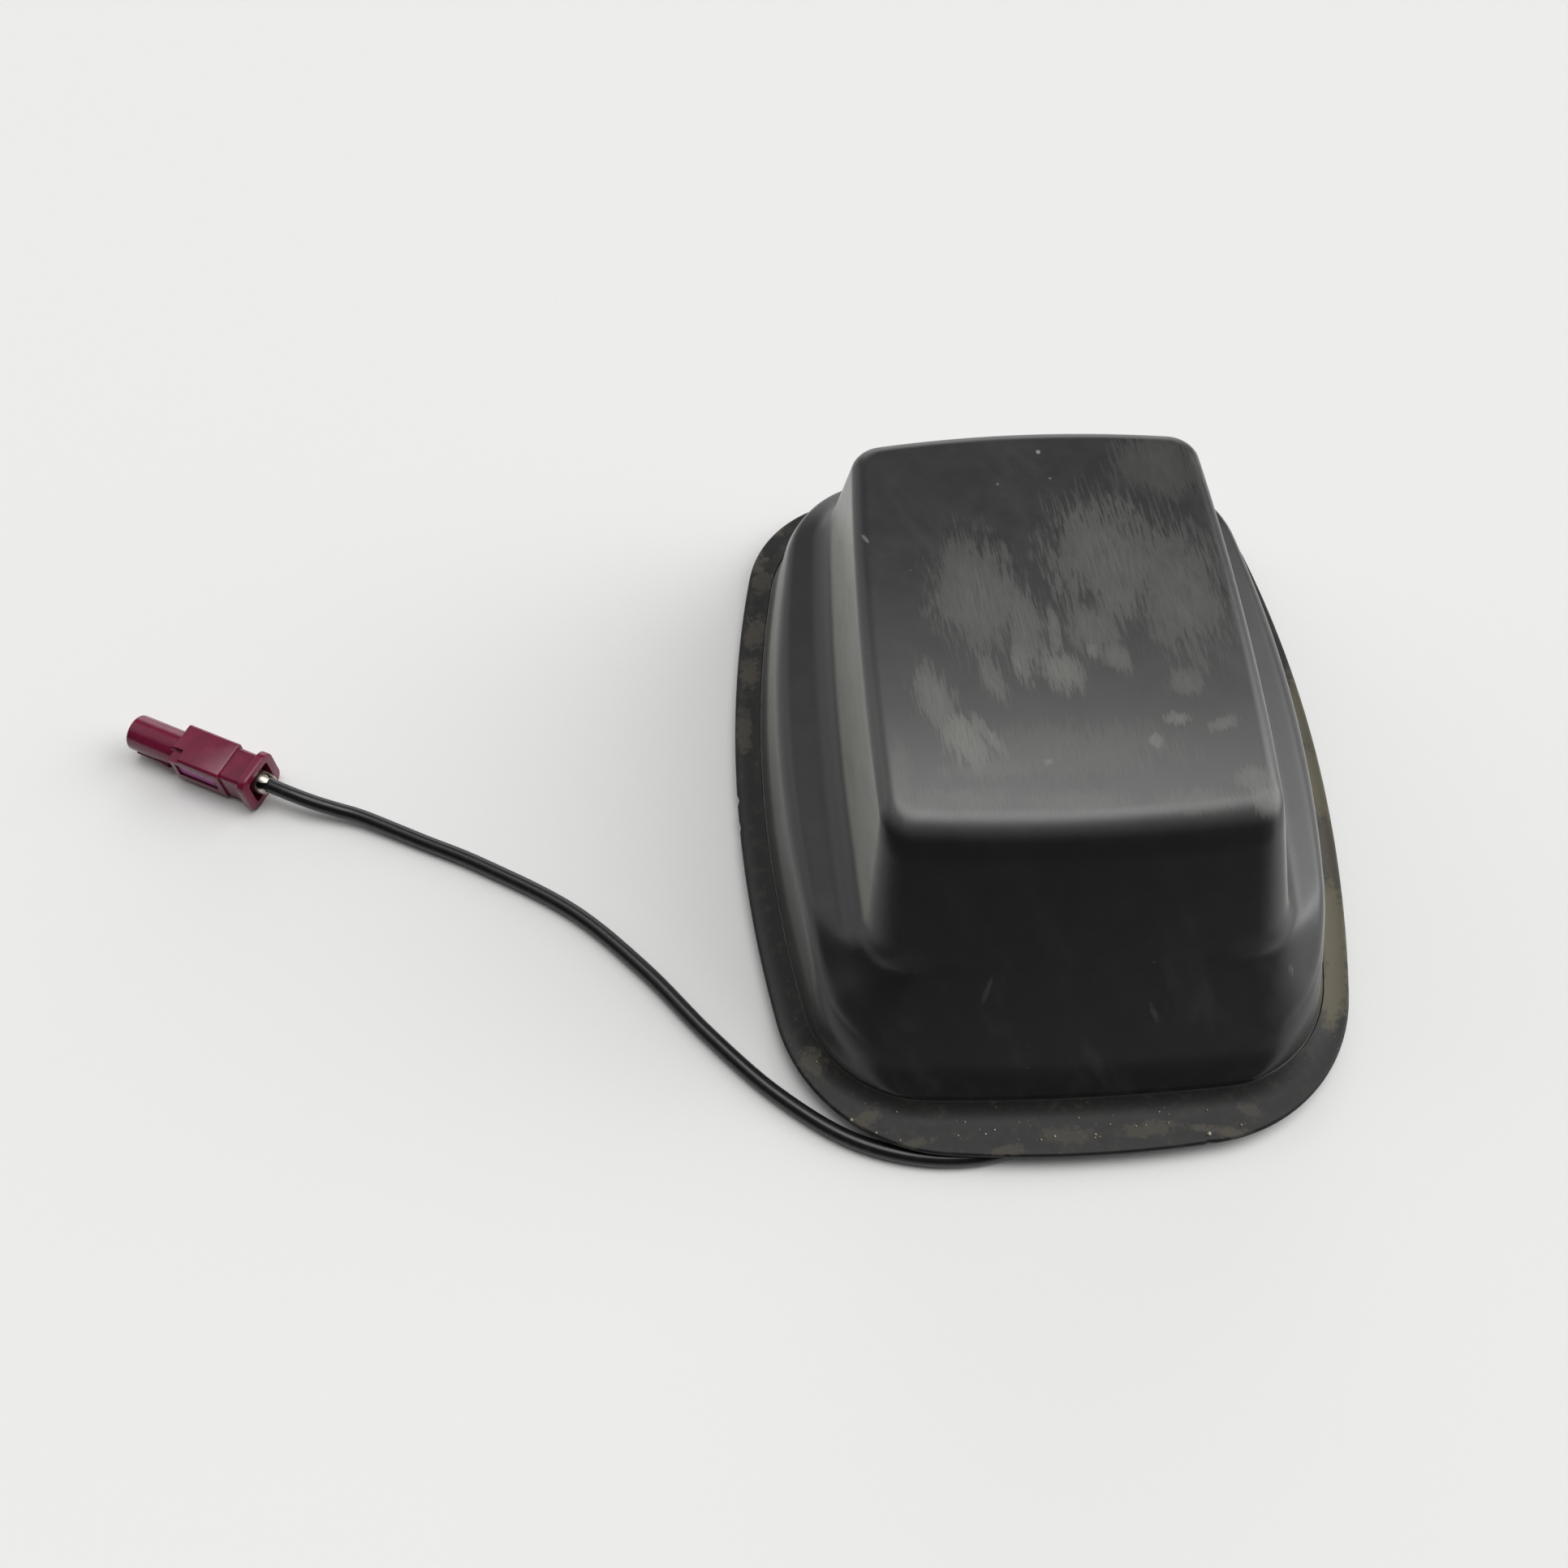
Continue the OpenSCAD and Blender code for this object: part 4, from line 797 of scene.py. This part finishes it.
def makeFerruleTree():
    # a sleeve, and claws repeated round its end
    tree = newTree("clawsRoundSleeve", [
        ("Claws", "NodeSocketInt", 4), ("Axis Point", "NodeSocketVector", (0, 0, 0)),
        ("Turn", "NodeSocketFloat", 0.0), ("Claw", "NodeSocketObject", None),
        ("Finish", "NodeSocketMaterial", None),
    ])
    given = treeNode(tree, "NodeGroupInput")
    points = treeNode(tree, "GeometryNodeMeshLine", {"mode": "OFFSET"}, {
        "Count": given.outputs["Claws"], "Start Location": given.outputs["Axis Point"],
        "Offset": (0, 0, 0)})
    index = treeNode(tree, "GeometryNodeInputIndex")
    step = treeNode(tree, "ShaderNodeMath", {"operation": "DIVIDE"},
                    {0: 2 * math.pi, 1: given.outputs["Claws"]})
    turn = treeNode(tree, "ShaderNodeMath", {"operation": "MULTIPLY"},
                    {0: index.outputs[0], 1: step.outputs[0]})
    angles = treeNode(tree, "ShaderNodeCombineXYZ", {}, {
        "X": turn.outputs[0], "Y": 0.0, "Z": given.outputs["Turn"]})
    claw = treeNode(tree, "GeometryNodeObjectInfo", {}, {"Object": given.outputs["Claw"]})
    spread = treeNode(tree, "GeometryNodeInstanceOnPoints", {}, {
        "Points": points.outputs[0], "Instance": claw.outputs["Geometry"],
        "Rotation": angles.outputs[0]})
    joined = treeNode(tree, "GeometryNodeJoinGeometry")
    tree.links.new(given.outputs["Geometry"], joined.inputs[0])
    tree.links.new(spread.outputs[0], joined.inputs[0])
    return endTree(tree, joined.outputs[0], given.outputs["Finish"])


def makeFerrule():
    g = plug
    rOut, rIn = g["ferruleD"] / 2, g["ferruleD"] / 2 - g["ferruleWall"]
    sleeve = revolved("crimpFerrule", [
        (ferruleStart, rIn), (collarEnd, rIn), (collarEnd, rOut), (ferruleStart, rOut)], 48)
    half = math.pi / 4 - math.asin(g["clawGap"] / 2 / rOut)
    along, across = g["clawSteps"]
    points, faces = [], []
    for wall in (0, 1):
        for i in range(along + 1):
            share = i / along
            narrow = 1 - g["clawNarrow"] * smoothStep(
                (share - g["clawFrom"]) / (1 - g["clawFrom"]))
            dip = g["clawDip"] * share ** 2
            for j in range(across + 1):
                a = half * narrow * (2 * j / across - 1)
                r = rIn - dip * g["clawInner"] if wall else rOut - dip
                points.append((share * g["clawL"], -r * math.sin(a), r * math.cos(a)))
    row = across + 1
    size = (along + 1) * row
    for i in range(along):
        for j in range(across):
            a, b = i * row + j, i * row + j + 1
            c, d = (i + 1) * row + j + 1, (i + 1) * row + j
            faces.append((a, b, c, d))
            faces.append((a + size, b + size, c + size, d + size)[::-1])
    edge = ([(i, 0) for i in range(along + 1)] + [(along, j) for j in range(1, across + 1)]
            + [(i, across) for i in range(along - 1, -1, -1)]
            + [(0, j) for j in range(across - 1, 0, -1)])
    loop = [i * row + j for i, j in edge]
    for a, b in zip(loop, loop[1:] + loop[:1]):
        faces.append((a, b, b + size, a + size))
    claw = addPiece("claw", meshOf("claw", points, faces))
    piece = addPiece("crimpFerrule", sleeve)
    runTree(piece, makeFerruleTree(), {
        "Claws": 4, "Axis Point": tuple(onAxis(collarEnd) * mm),
        "Turn": math.radians(-g["turn"]), "Claw": claw, "Finish": finishes["ferrule"]})
    bpy.data.objects.remove(claw)
    return piece


ferrule = dress(makeFerrule(), "ferrule", ["crimp_ferrule"], 40)
print("ferrule made")


def arc(middle, radius, start, end, count):
    turns = [mixed(start, end, i / count) for i in range(count)]
    return [middle + radius * Vector((math.cos(a), math.sin(a))) for a in turns]


def quarter(halfWidth, reach, sideBow, endBow, corner, counts):
    # a bowed side, a round corner and a bowed end, each tangent to the next
    sideMiddle = Vector((halfWidth - sideBow, 0))
    endMiddle = Vector((0, reach - endBow))
    span = (endMiddle - sideMiddle).length
    sideR, endR = sideBow - corner, endBow - corner
    along = (span ** 2 + sideR ** 2 - endR ** 2) / (2 * span)
    off = math.sqrt(sideR ** 2 - along ** 2)
    u = (endMiddle - sideMiddle) / span
    middle = sideMiddle + along * u + off * Vector((-u.y, u.x))
    a1 = math.atan2(middle.y - sideMiddle.y, middle.x - sideMiddle.x)
    a2 = math.atan2(middle.y - endMiddle.y, middle.x - endMiddle.x)
    return (arc(sideMiddle, sideBow, 0, a1, counts[0]) + arc(middle, corner, a1, a2, counts[1])
            + arc(endMiddle, endBow, a2, math.pi / 2, counts[2]))


def outline(halfWidth, front, rear, bows, corners, counts):
    back = quarter(halfWidth, rear - pod["wideY"], bows[0], bows[2], corners[1], counts)
    fore = quarter(halfWidth, pod["wideY"] - front, bows[0], bows[1], corners[0], counts)
    ring = back + [Vector((0, rear - pod["wideY"]))]
    ring += [Vector((-p.x, p.y)) for p in reversed(back[1:])]
    ring += [Vector((-p.x, -p.y)) for p in fore]
    ring += [Vector((0, front - pod["wideY"]))]
    ring += [Vector((p.x, -p.y)) for p in reversed(fore[1:])]
    return [Vector((p.x, p.y + pod["wideY"])) for p in ring]


def rimOutline(margin, counts):
    return outline(pod["rimW"] / 2 - margin, margin - pod["rimL"] / 2, pod["rimL"] / 2 - margin,
                   [b - margin for b in pod["rimBows"]], [c - margin for c in pod["rimCorners"]],
                   counts)


def footOutline(margin, counts):
    return outline(footX - margin, footFront + margin, footRear - margin,
                   [b - margin for b in pod["footBows"]],
                   [c - margin for c in pod["footCorners"]], counts)


def rounded(a, b, c, radius, count):
    # the corner b between a and c, as count + 1 points on an arc
    a, b, c = Vector(a), Vector(b), Vector(c)
    u, v = (a - b).normalized(), (c - b).normalized()
    half = math.acos(u.dot(v)) / 2
    middle = b + (u + v).normalized() * radius / math.sin(half)
    s = b + u * radius / math.tan(half) - middle
    e = b + v * radius / math.tan(half) - middle
    start = math.atan2(s.y, s.x)
    turn = math.atan2(e.y, e.x) - start
    turn = (turn + math.pi) % (2 * math.pi) - math.pi
    turns = [start + turn * i / count for i in range(count + 1)]
    return [middle + radius * Vector((math.cos(t), math.sin(t))) for t in turns]


def frontFoot(t):
    return footFront + t / math.sin(math.radians(pod["slope"]))


def frontZ(y, t):
    return footZ + (y - frontFoot(t)) * tangent(pod["slope"])


def frontY(z, t):
    top, r = topZ - t, pod["crestR"] - t
    slope = math.radians(pod["slope"])
    crestY = frontFoot(t) + (top - footZ) / math.tan(slope)
    middle = (crestY + r * math.tan(slope / 2), top - r)
    if z <= top - r * (1 - math.cos(slope)):
        return frontFoot(t) + (z - footZ) / math.tan(slope)
    return middle[0] - math.sqrt(max(r * r - (z - middle[1]) ** 2, 0))


def softMin(a, b, k):
    # the lesser of two heights, rounded over where they are within k of each other
    h = max(k - abs(a - b), 0) / k if k > 0 else 0
    return min(a, b) - h * h * k / 4


def between(a, b, count):
    # the points between a and b, without either
    return [Vector(a).lerp(Vector(b), i / count) for i in range(1, count)]


def section(t, steps):
    # the side section in two runs, up to the shoulder's fillet and from there to the top
    foot = (footX - t, footZ)
    ridge = (ridgeX - t, ridgeZ - t)
    shoulder = (shoulderX - t, shoulderZ - t)
    top = (upperX - t, topZ - t)
    ridgeRound = rounded(foot, ridge, shoulder, pod["ridgeR"] - t / 2, steps)
    filletRound = rounded(ridge, shoulder, top, pod["filletR"], steps)
    edgeRound = rounded(shoulder, top, (0, topZ - t), max(pod["topR"] - t, pod["leastEdge"]),
                        steps)
    low = ([Vector(foot)] + between(foot, ridgeRound[0], steps) + ridgeRound
           + between(ridgeRound[-1], filletRound[0], steps // 2) + filletRound)
    high = between(filletRound[-1], edgeRound[0], 2 * steps) + edgeRound
    return low, high


def level(x, z, front, t, k, counts):
    # one level of the skin t mm in, whose front is cut back to the slope with softness k
    share = min(max((ridgeX - t - x) / pod["shoulderW"], 0), 1)
    loss = max(shoulderX - t - x, 0) * pod["cornerLoss"]
    bows = [mixed(a, b, share) for a, b in zip(pod["footBows"], pod["upperBows"])]
    corners = [max(mixed(c - t, pod["upperCorner"], share) - loss, pod["leastCorner"])
               for c in pod["footCorners"]]
    rear = footRear - (footX - x) + share * (pod["shoulderW"] - pod["shoulderRear"])
    made = []
    for p in outline(x, front, rear, bows, corners, counts):
        cut = frontZ(p.y - p.x ** 2 / (2 * bows[1]), t)
        if k >= 0:       # the slope rounds over into the tier's sides
            side = max(abs(p.x) - pod["cheekFrom"], 0) / pod["cheekRun"]
            risen = min(max(cut - footZ, 0) / pod["cheekRise"], 1)
            cut -= pod["cheekDrop"] * side ** pod["cheekBow"] * risen * (1 - share ** 4)
        # none of the softness across the slope itself
        soft = k * smoothStep((abs(p.x) - pod["blendFrom"]) / pod["blendRun"])
        made.append((p.x, p.y, z if k < 0 else softMin(z, cut, soft)))
    return made


def skin(t, steps, counts):
    low, high = section(t, steps)
    join = low[-1]
    joinY = frontY(join.y, t)
    run = footX - t - join.x
    rings = []
    for p in low:
        share = (footX - t - p.x) / run
        front = min(mixed(frontFoot(t), joinY, share), frontY(p.y, t))
        soft = min(pod["blend"] * (1 - share ** 3), pod["blendShare"] * (p.y - footZ))
        rings.append(level(p.x, p.y, front, t, soft, counts))
    return rings + [level(p.x, p.y, frontY(p.y, t), t, -1, counts) for p in high]


def flared(ring):
    # points near the foot move out, each across the ring's own run
    count = len(ring)
    made = []
    for i, p in enumerate(ring):
        run = Vector(ring[(i + 1) % count]) - Vector(ring[i - 1])
        share = min(max(1 - (p[2] - footZ - pod["riseH"]) / pod["flareH"], 0), 1)
        out = Vector((run.y, -run.x, 0)).normalized() * pod["flare"] * share ** 2
        made.append(tuple(Vector(p) + out))
    return made


def crowned(ring):
    # the top falls away a little towards its crest
    made = []
    for x, y, z in ring:
        reach = min(max(pod["crownFrom"] - y, 0) / pod["crownRun"], pod["crownMost"])
        high = smoothStep((z - pod["crownZ"]) / pod["crownDeep"])
        made.append((x, y, z - pod["crown"] * reach ** 2 * high))
    return made


def shrunk(ring, share):
    middle = sum((Vector(p) for p in ring), Vector()) / len(ring)
    return [tuple(middle.lerp(Vector(p), share)) for p in ring]


def makePodShell():
    outer = [flared(ring) for ring in skin(0, pod["rounds"], pod["counts"])]
    outer += [shrunk(outer[-1], share) for share in pod["topRings"]]
    outer = [crowned(ring) for ring in outer]
    inner = skin(pod["wall"], pod["innerRounds"], pod["counts"])
    rings = inner[::-1] + outer
    count = len(rings[0])
    faces = []
    for j in range(len(rings) - 1):
        bridge(faces, j * count, (j + 1) * count, count)
    faces.append(tuple(range((len(rings) - 1) * count, len(rings) * count)))
    faces.append(tuple(range(count - 1, -1, -1)))
    return addPiece("podShell", meshOf("podShell", [p for ring in rings for p in ring], faces))


podShell = dress(makePodShell(), "shell", ["cover"])
print("shell made,", len(podShell.data.polygons), "faces")


# The rim: a soft lip that stands clear of the roof, and its rise to the shell
rim = {
    "counts": (44, 30, 34), "edgeSteps": 10, "landSteps": 5, "riseSteps": 12,
    "underRings": (0.0, 0.35, 0.7),
    "wave": 0.05, "wavePerMm": 0.03,     # waviness of the soft lip
    "waveFrom": 52.5, "waveRun": 17.5,   # how far out it starts, and over how much it grows
    "stillR": 54.7722,       # nothing moves inside this radius
    "crown": 0.03,           # rounding of the rise where it meets the seam
    "riseBend": 0.2,         # 0 rises late, 1 rises evenly
    "nicks": [(-63.2, -1.5, 1.0, 0.45), (-63.3, 4.5, 0.7, 0.3), (-62.9, -8.0, 1.3, 0.3),
              (-48.5, -66.0, 1.2, 0.35), (24.0, -81.0, 0.9, 0.3)],
}


def makeRim():
    counts = rim["counts"]
    edge = pod["rimEdge"] / 2
    lift = pod["rimLift"]
    tuck = pod["wall"] + pod["rimTuck"]
    rings = []

    def add(points, z):
        rings.append([(p.x, p.y, z) for p in points])

    lowest = rimOutline(edge, counts)
    inside = footOutline(tuck, counts)
    for share in rim["underRings"]:
        add([a.lerp(b, share) for a, b in zip(inside, lowest)], lift)
    for j in range(rim["edgeSteps"] + 1):
        turn = -math.pi / 2 + math.pi * j / rim["edgeSteps"]
        add(rimOutline(edge - edge * math.cos(turn), counts), lift + edge + edge * math.sin(turn))
    riseX = pod["flare"] + pod["riseGap"]
    riseStart = footOutline(-riseX - pod["riseW"], counts)
    lipZ = lift + pod["rimEdge"]
    for j in range(1, rim["landSteps"]):
        add([a.lerp(b, j / rim["landSteps"]) for a, b in zip(lowest, riseStart)], lipZ)
    crown = rim["crown"]
    for j in range(rim["riseSteps"] + 1):
        t = j / rim["riseSteps"] * (1 - crown / pod["riseW"])
        add(footOutline(-riseX - pod["riseW"] * (1 - t), counts),
            mixed(lipZ, footZ + pod["riseH"], mixed(t * t, t, rim["riseBend"])))
    add(footOutline(-riseX - crown * 0.3, counts), footZ + pod["riseH"] - crown * 0.45)
    add(footOutline(-riseX, counts), footZ + pod["riseH"] - crown)
    add(footOutline(-riseX, counts), footZ)
    add(inside, footZ)
    count = len(rings[0])
    faces = []
    for j in range(len(rings)):
        bridge(faces, j * count, (j + 1) % len(rings) * count, count)
    points = [Vector(p) for ring in rings for p in ring]
    for p in points:
        if math.hypot(p.x, p.y) < rim["stillR"]:
            continue
        wave = fractal.noise(Vector((p.x * rim["wavePerMm"], p.y * rim["wavePerMm"], 4.0)))
        outside = smoothStep((math.hypot(p.x, p.y - 2) - rim["waveFrom"]) / rim["waveRun"])
        p.z += rim["wave"] * wave * outside
        for x, y, reach, deep in rim["nicks"]:
            near = math.hypot(p.x - x, p.y - y) / reach
            if near < 1 and abs(p.z - lift - edge) < 1.2:
                pull = deep * (1 - near ** 2) ** 2
                across = Vector((p.x, p.y, 0)).normalized()
                p.x -= across.x * pull
                p.y -= across.y * pull
    return addPiece("rubberRim", meshOf("rubberRim", points, faces))


rubberRim = dress(makeRim(), "rim", ["rim_seal"])
print("rim made,", len(rubberRim.data.polygons), "faces")


# The threaded insert in the boss
insertSize = {
    "thread": 6.8, "pitch": 1.25, "deep": 0.42, "sides": 64, "perTurn": 12,
    "bodyR": 6.0, "flangeUp": 2.2, "chamfer": 0.5, "flangeEdge": 0.2,
    "leadIn": 0.9,           # over how much the thread starts and ends
}


def makeInsert():
    low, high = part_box("threaded_insert")
    low, high = low / mm, high / mm
    flangeR = (high.x - low.x) / 2
    bodyR, chamfer, edge = (insertSize[key] for key in ("bodyR", "chamfer", "flangeEdge"))
    flangeZ = footZ + insertSize["flangeUp"]
    sides, leadIn = insertSize["sides"], insertSize["leadIn"]
    rows = int((high.z - low.z) / insertSize["pitch"] * insertSize["perTurn"])
    rings = []

    def add(radius, z):
        rings.append([(radius * math.cos(2 * math.pi * i / sides),
                       radius * math.sin(2 * math.pi * i / sides), z) for i in range(sides)])

    add(bodyR - chamfer, low.z)
    add(bodyR, low.z + chamfer)
    add(bodyR, flangeZ)
    add(flangeR, flangeZ)
    add(flangeR, high.z - edge)
    add(flangeR - edge, high.z)
    for j in range(rows + 1):
        z = mixed(high.z, low.z, j / rows)
        ring = []
        for i in range(sides):
            phase = (z / insertSize["pitch"] - i / sides) % 1.0
            crest = 1 - abs(2 * phase - 1)
            near = min(1.0, (z - low.z) / leadIn, (high.z - z) / leadIn)
            radius = insertSize["thread"] / 2 + insertSize["deep"] * (1 - crest * near)
            a = 2 * math.pi * i / sides
            ring.append((radius * math.cos(a), radius * math.sin(a), z))
        rings.append(ring)
    faces = []
    for j in range(len(rings)):
        bridge(faces, j * sides, (j + 1) % len(rings) * sides, sides)
    return addPiece("threadedInsert",
                    meshOf("threadedInsert", [p for ring in rings for p in ring], faces))


dress(makeInsert(), "insert", ["threaded_insert"], 35)
print("insert made")


# Crumbs of dirt on the front lip
crumbLook = {
    "places": [(24.0, -79.6, 0.42), (30.5, -78.2, 0.26), (-39.5, -76.2, 0.24),
               (-44.0, -73.4, 0.28), (-35.0, -77.9, 0.2), (-5.5, -78.6, 0.22),
               (2.3, -78.6, 0.26), (10.3, -77.4, 0.22), (16.6, -77.0, 0.2)],
    "extra": 26, "small": (0.08, 0.2), "seed": 7,
    "margin": 3.0, "counts": (40, 30, 60), "frontY": -62.0, "inward": 4.5, "narrowing": 90.0,
    "sunk": 0.35,            # how high a crumb's middle sits, as a share of its radius
    "shades": ((0.16, 0.13, 0.09), (0.42, 0.38, 0.30)), "roughness": 0.75,
}


def makeCrumbTree():
    tree = newTree("crumbsOnLip", [
        ("Seed", "NodeSocketInt", 7), ("Finish", "NodeSocketMaterial", None)])
    given = treeNode(tree, "NodeGroupInput")
    lump = treeNode(tree, "GeometryNodeMeshIcoSphere", {}, {"Radius": 1.0, "Subdivisions": 2})
    shape = treeNode(tree, "ShaderNodeTexNoise", {}, {"Scale": 1.3, "Detail": 2.0})
    pushed = treeNode(tree, "ShaderNodeVectorMath", {"operation": "SUBTRACT"},
                      {0: shape.outputs["Color"], 1: (0.5, 0.5, 0.5)})
    rough = treeNode(tree, "GeometryNodeSetPosition", {}, {
        "Geometry": lump.outputs[0], "Offset": pushed.outputs[0]})
    size = treeNode(tree, "GeometryNodeInputNamedAttribute", {"data_type": "FLOAT"},
                    {"Name": "size"})
    turn = treeNode(tree, "FunctionNodeRandomValue", {"data_type": "FLOAT_VECTOR"}, {
        "Max": (0.4, 0.4, 6.28), "Seed": given.outputs["Seed"]})
    spread = treeNode(tree, "GeometryNodeInstanceOnPoints", {}, {
        "Points": given.outputs["Geometry"], "Instance": rough.outputs[0],
        "Rotation": turn.outputs[0], "Scale": size.outputs[0]})
    return endTree(tree, spread.outputs[0], given.outputs["Finish"])


def lipHeight(x, y):
    # the rim's surface under a point, in metres
    hit, place, _, _ = rubberRim.ray_cast(Vector((x * mm, y * mm, 0.02)), Vector((0, 0, -1)))
    return place.z if hit else footZ * mm


def makeCrumbs():
    finish = Finish("crumbFinish", IOR=1.45)
    shade = finish.tint(finish.ramp(finish.cloud(1.5, 3), 0.35, 0.65), *crumbLook["shades"])
    finish.paint(shade, crumbLook["roughness"] + 0.15 * finish.cloud(3.0))
    spots = list(crumbLook["places"])
    ring = rimOutline(crumbLook["margin"], crumbLook["counts"])
    front = [p for p in ring if p.y < crumbLook["frontY"]]
    for _ in range(crumbLook["extra"]):
        p = seeded.choice(front)
        inward = seeded.uniform(0.0, crumbLook["inward"])
        spots.append((p.x * (1 - inward / crumbLook["narrowing"]), p.y + inward,
                      seeded.uniform(*crumbLook["small"])))
    mesh = bpy.data.meshes.new("dirtCrumbs")
    mesh.from_pydata([(x * mm, y * mm, lipHeight(x, y) + crumbLook["sunk"] * r * mm)
                      for x, y, r in spots], [], [])
    sizes = mesh.attributes.new("size", "FLOAT", "POINT")
    sizes.data.foreach_set("value", [r * mm for _, _, r in spots])
    piece = addPiece("dirtCrumbs", mesh)
    runTree(piece, makeCrumbTree(), {"Seed": crumbLook["seed"], "Finish": finish.material})
    piece.data.polygons.foreach_set("use_smooth", [True] * len(piece.data.polygons))
    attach(piece, "root")


makeCrumbs()
print("crumbs made")


# The floor, and the light of the world
stage = {"size": 4.0, "colour": (0.80, 0.80, 0.805), "seen": (0.815, 0.815, 0.805),
         "ior": 1.4, "specular": 0.15, "roughness": 0.75}
sky = {
    "base": 0.05,
    "softboxes": [       # azimuth from +X, elevation, inner and outer radius, strength
        (60, 80, 8, 25, 4.5), (12, 34, 12, 34, 3.2), (2, 8, 10, 30, 1.6),
        (85, 8, 12, 32, 1.8), (150, 8, 15, 40, 0.8), (150, 52, 10, 34, 0.6),
    ],
}


def makeFloor():
    half = stage["size"] / 2
    mesh = bpy.data.meshes.new("floor")
    mesh.from_pydata([(-half, -half, 0), (half, -half, 0), (half, half, 0), (-half, half, 0)],
                     [], [(0, 1, 2, 3)])
    finish = Finish("floorFinish", IOR=stage["ior"], **{"Specular IOR Level": stage["specular"]})
    seen = finish.node("ShaderNodeLightPath").outputs["Is Camera Ray"]
    shade = finish.tint(seen, stage["colour"], stage["seen"])
    rough = stage["roughness"] + 0.1 * finish.cloud(0.05)
    mesh.materials.append(finish.paint(shade, rough))
    addPiece("floor", mesh)


def makeSky():
    # a dim room with broad soft boxes: overhead and to the right, and weak ones low down
    world = bpy.data.worlds.new("softSky")
    world.use_nodes = True
    tree = world.node_tree
    tree.nodes.clear()
    aim = treeNode(tree, "ShaderNodeTexCoord").outputs["Generated"]
    total = treeNode(tree, "ShaderNodeValue").outputs[0]
    total.default_value = sky["base"]
    for turn, lift, inner, outer, strength in sky["softboxes"]:
        turn, lift = math.radians(turn), math.radians(lift)
        towards = (math.cos(lift) * math.cos(turn), math.cos(lift) * math.sin(turn),
                   math.sin(lift))
        near = treeNode(tree, "ShaderNodeVectorMath", {"operation": "DOT_PRODUCT"},
                        {0: aim, 1: towards})
        box = treeNode(tree, "ShaderNodeMapRange", {"interpolation_type": "SMOOTHSTEP"}, {
            "Value": near.outputs["Value"], "From Min": math.cos(math.radians(outer)),
            "From Max": math.cos(math.radians(inner)), "To Min": 0.0, "To Max": strength})
        total = treeNode(tree, "ShaderNodeMath", {"operation": "ADD"},
                         {0: total, 1: box.outputs[0]}).outputs[0]
    back = treeNode(tree, "ShaderNodeBackground", {}, {
        "Color": (1, 1, 1, 1), "Strength": total})
    treeNode(tree, "ShaderNodeOutputWorld", {}, {"Surface": back.outputs[0]})
    scene.world = world


makeFloor()
makeSky()
scene.view_settings.view_transform = "Standard"
print("stage made")
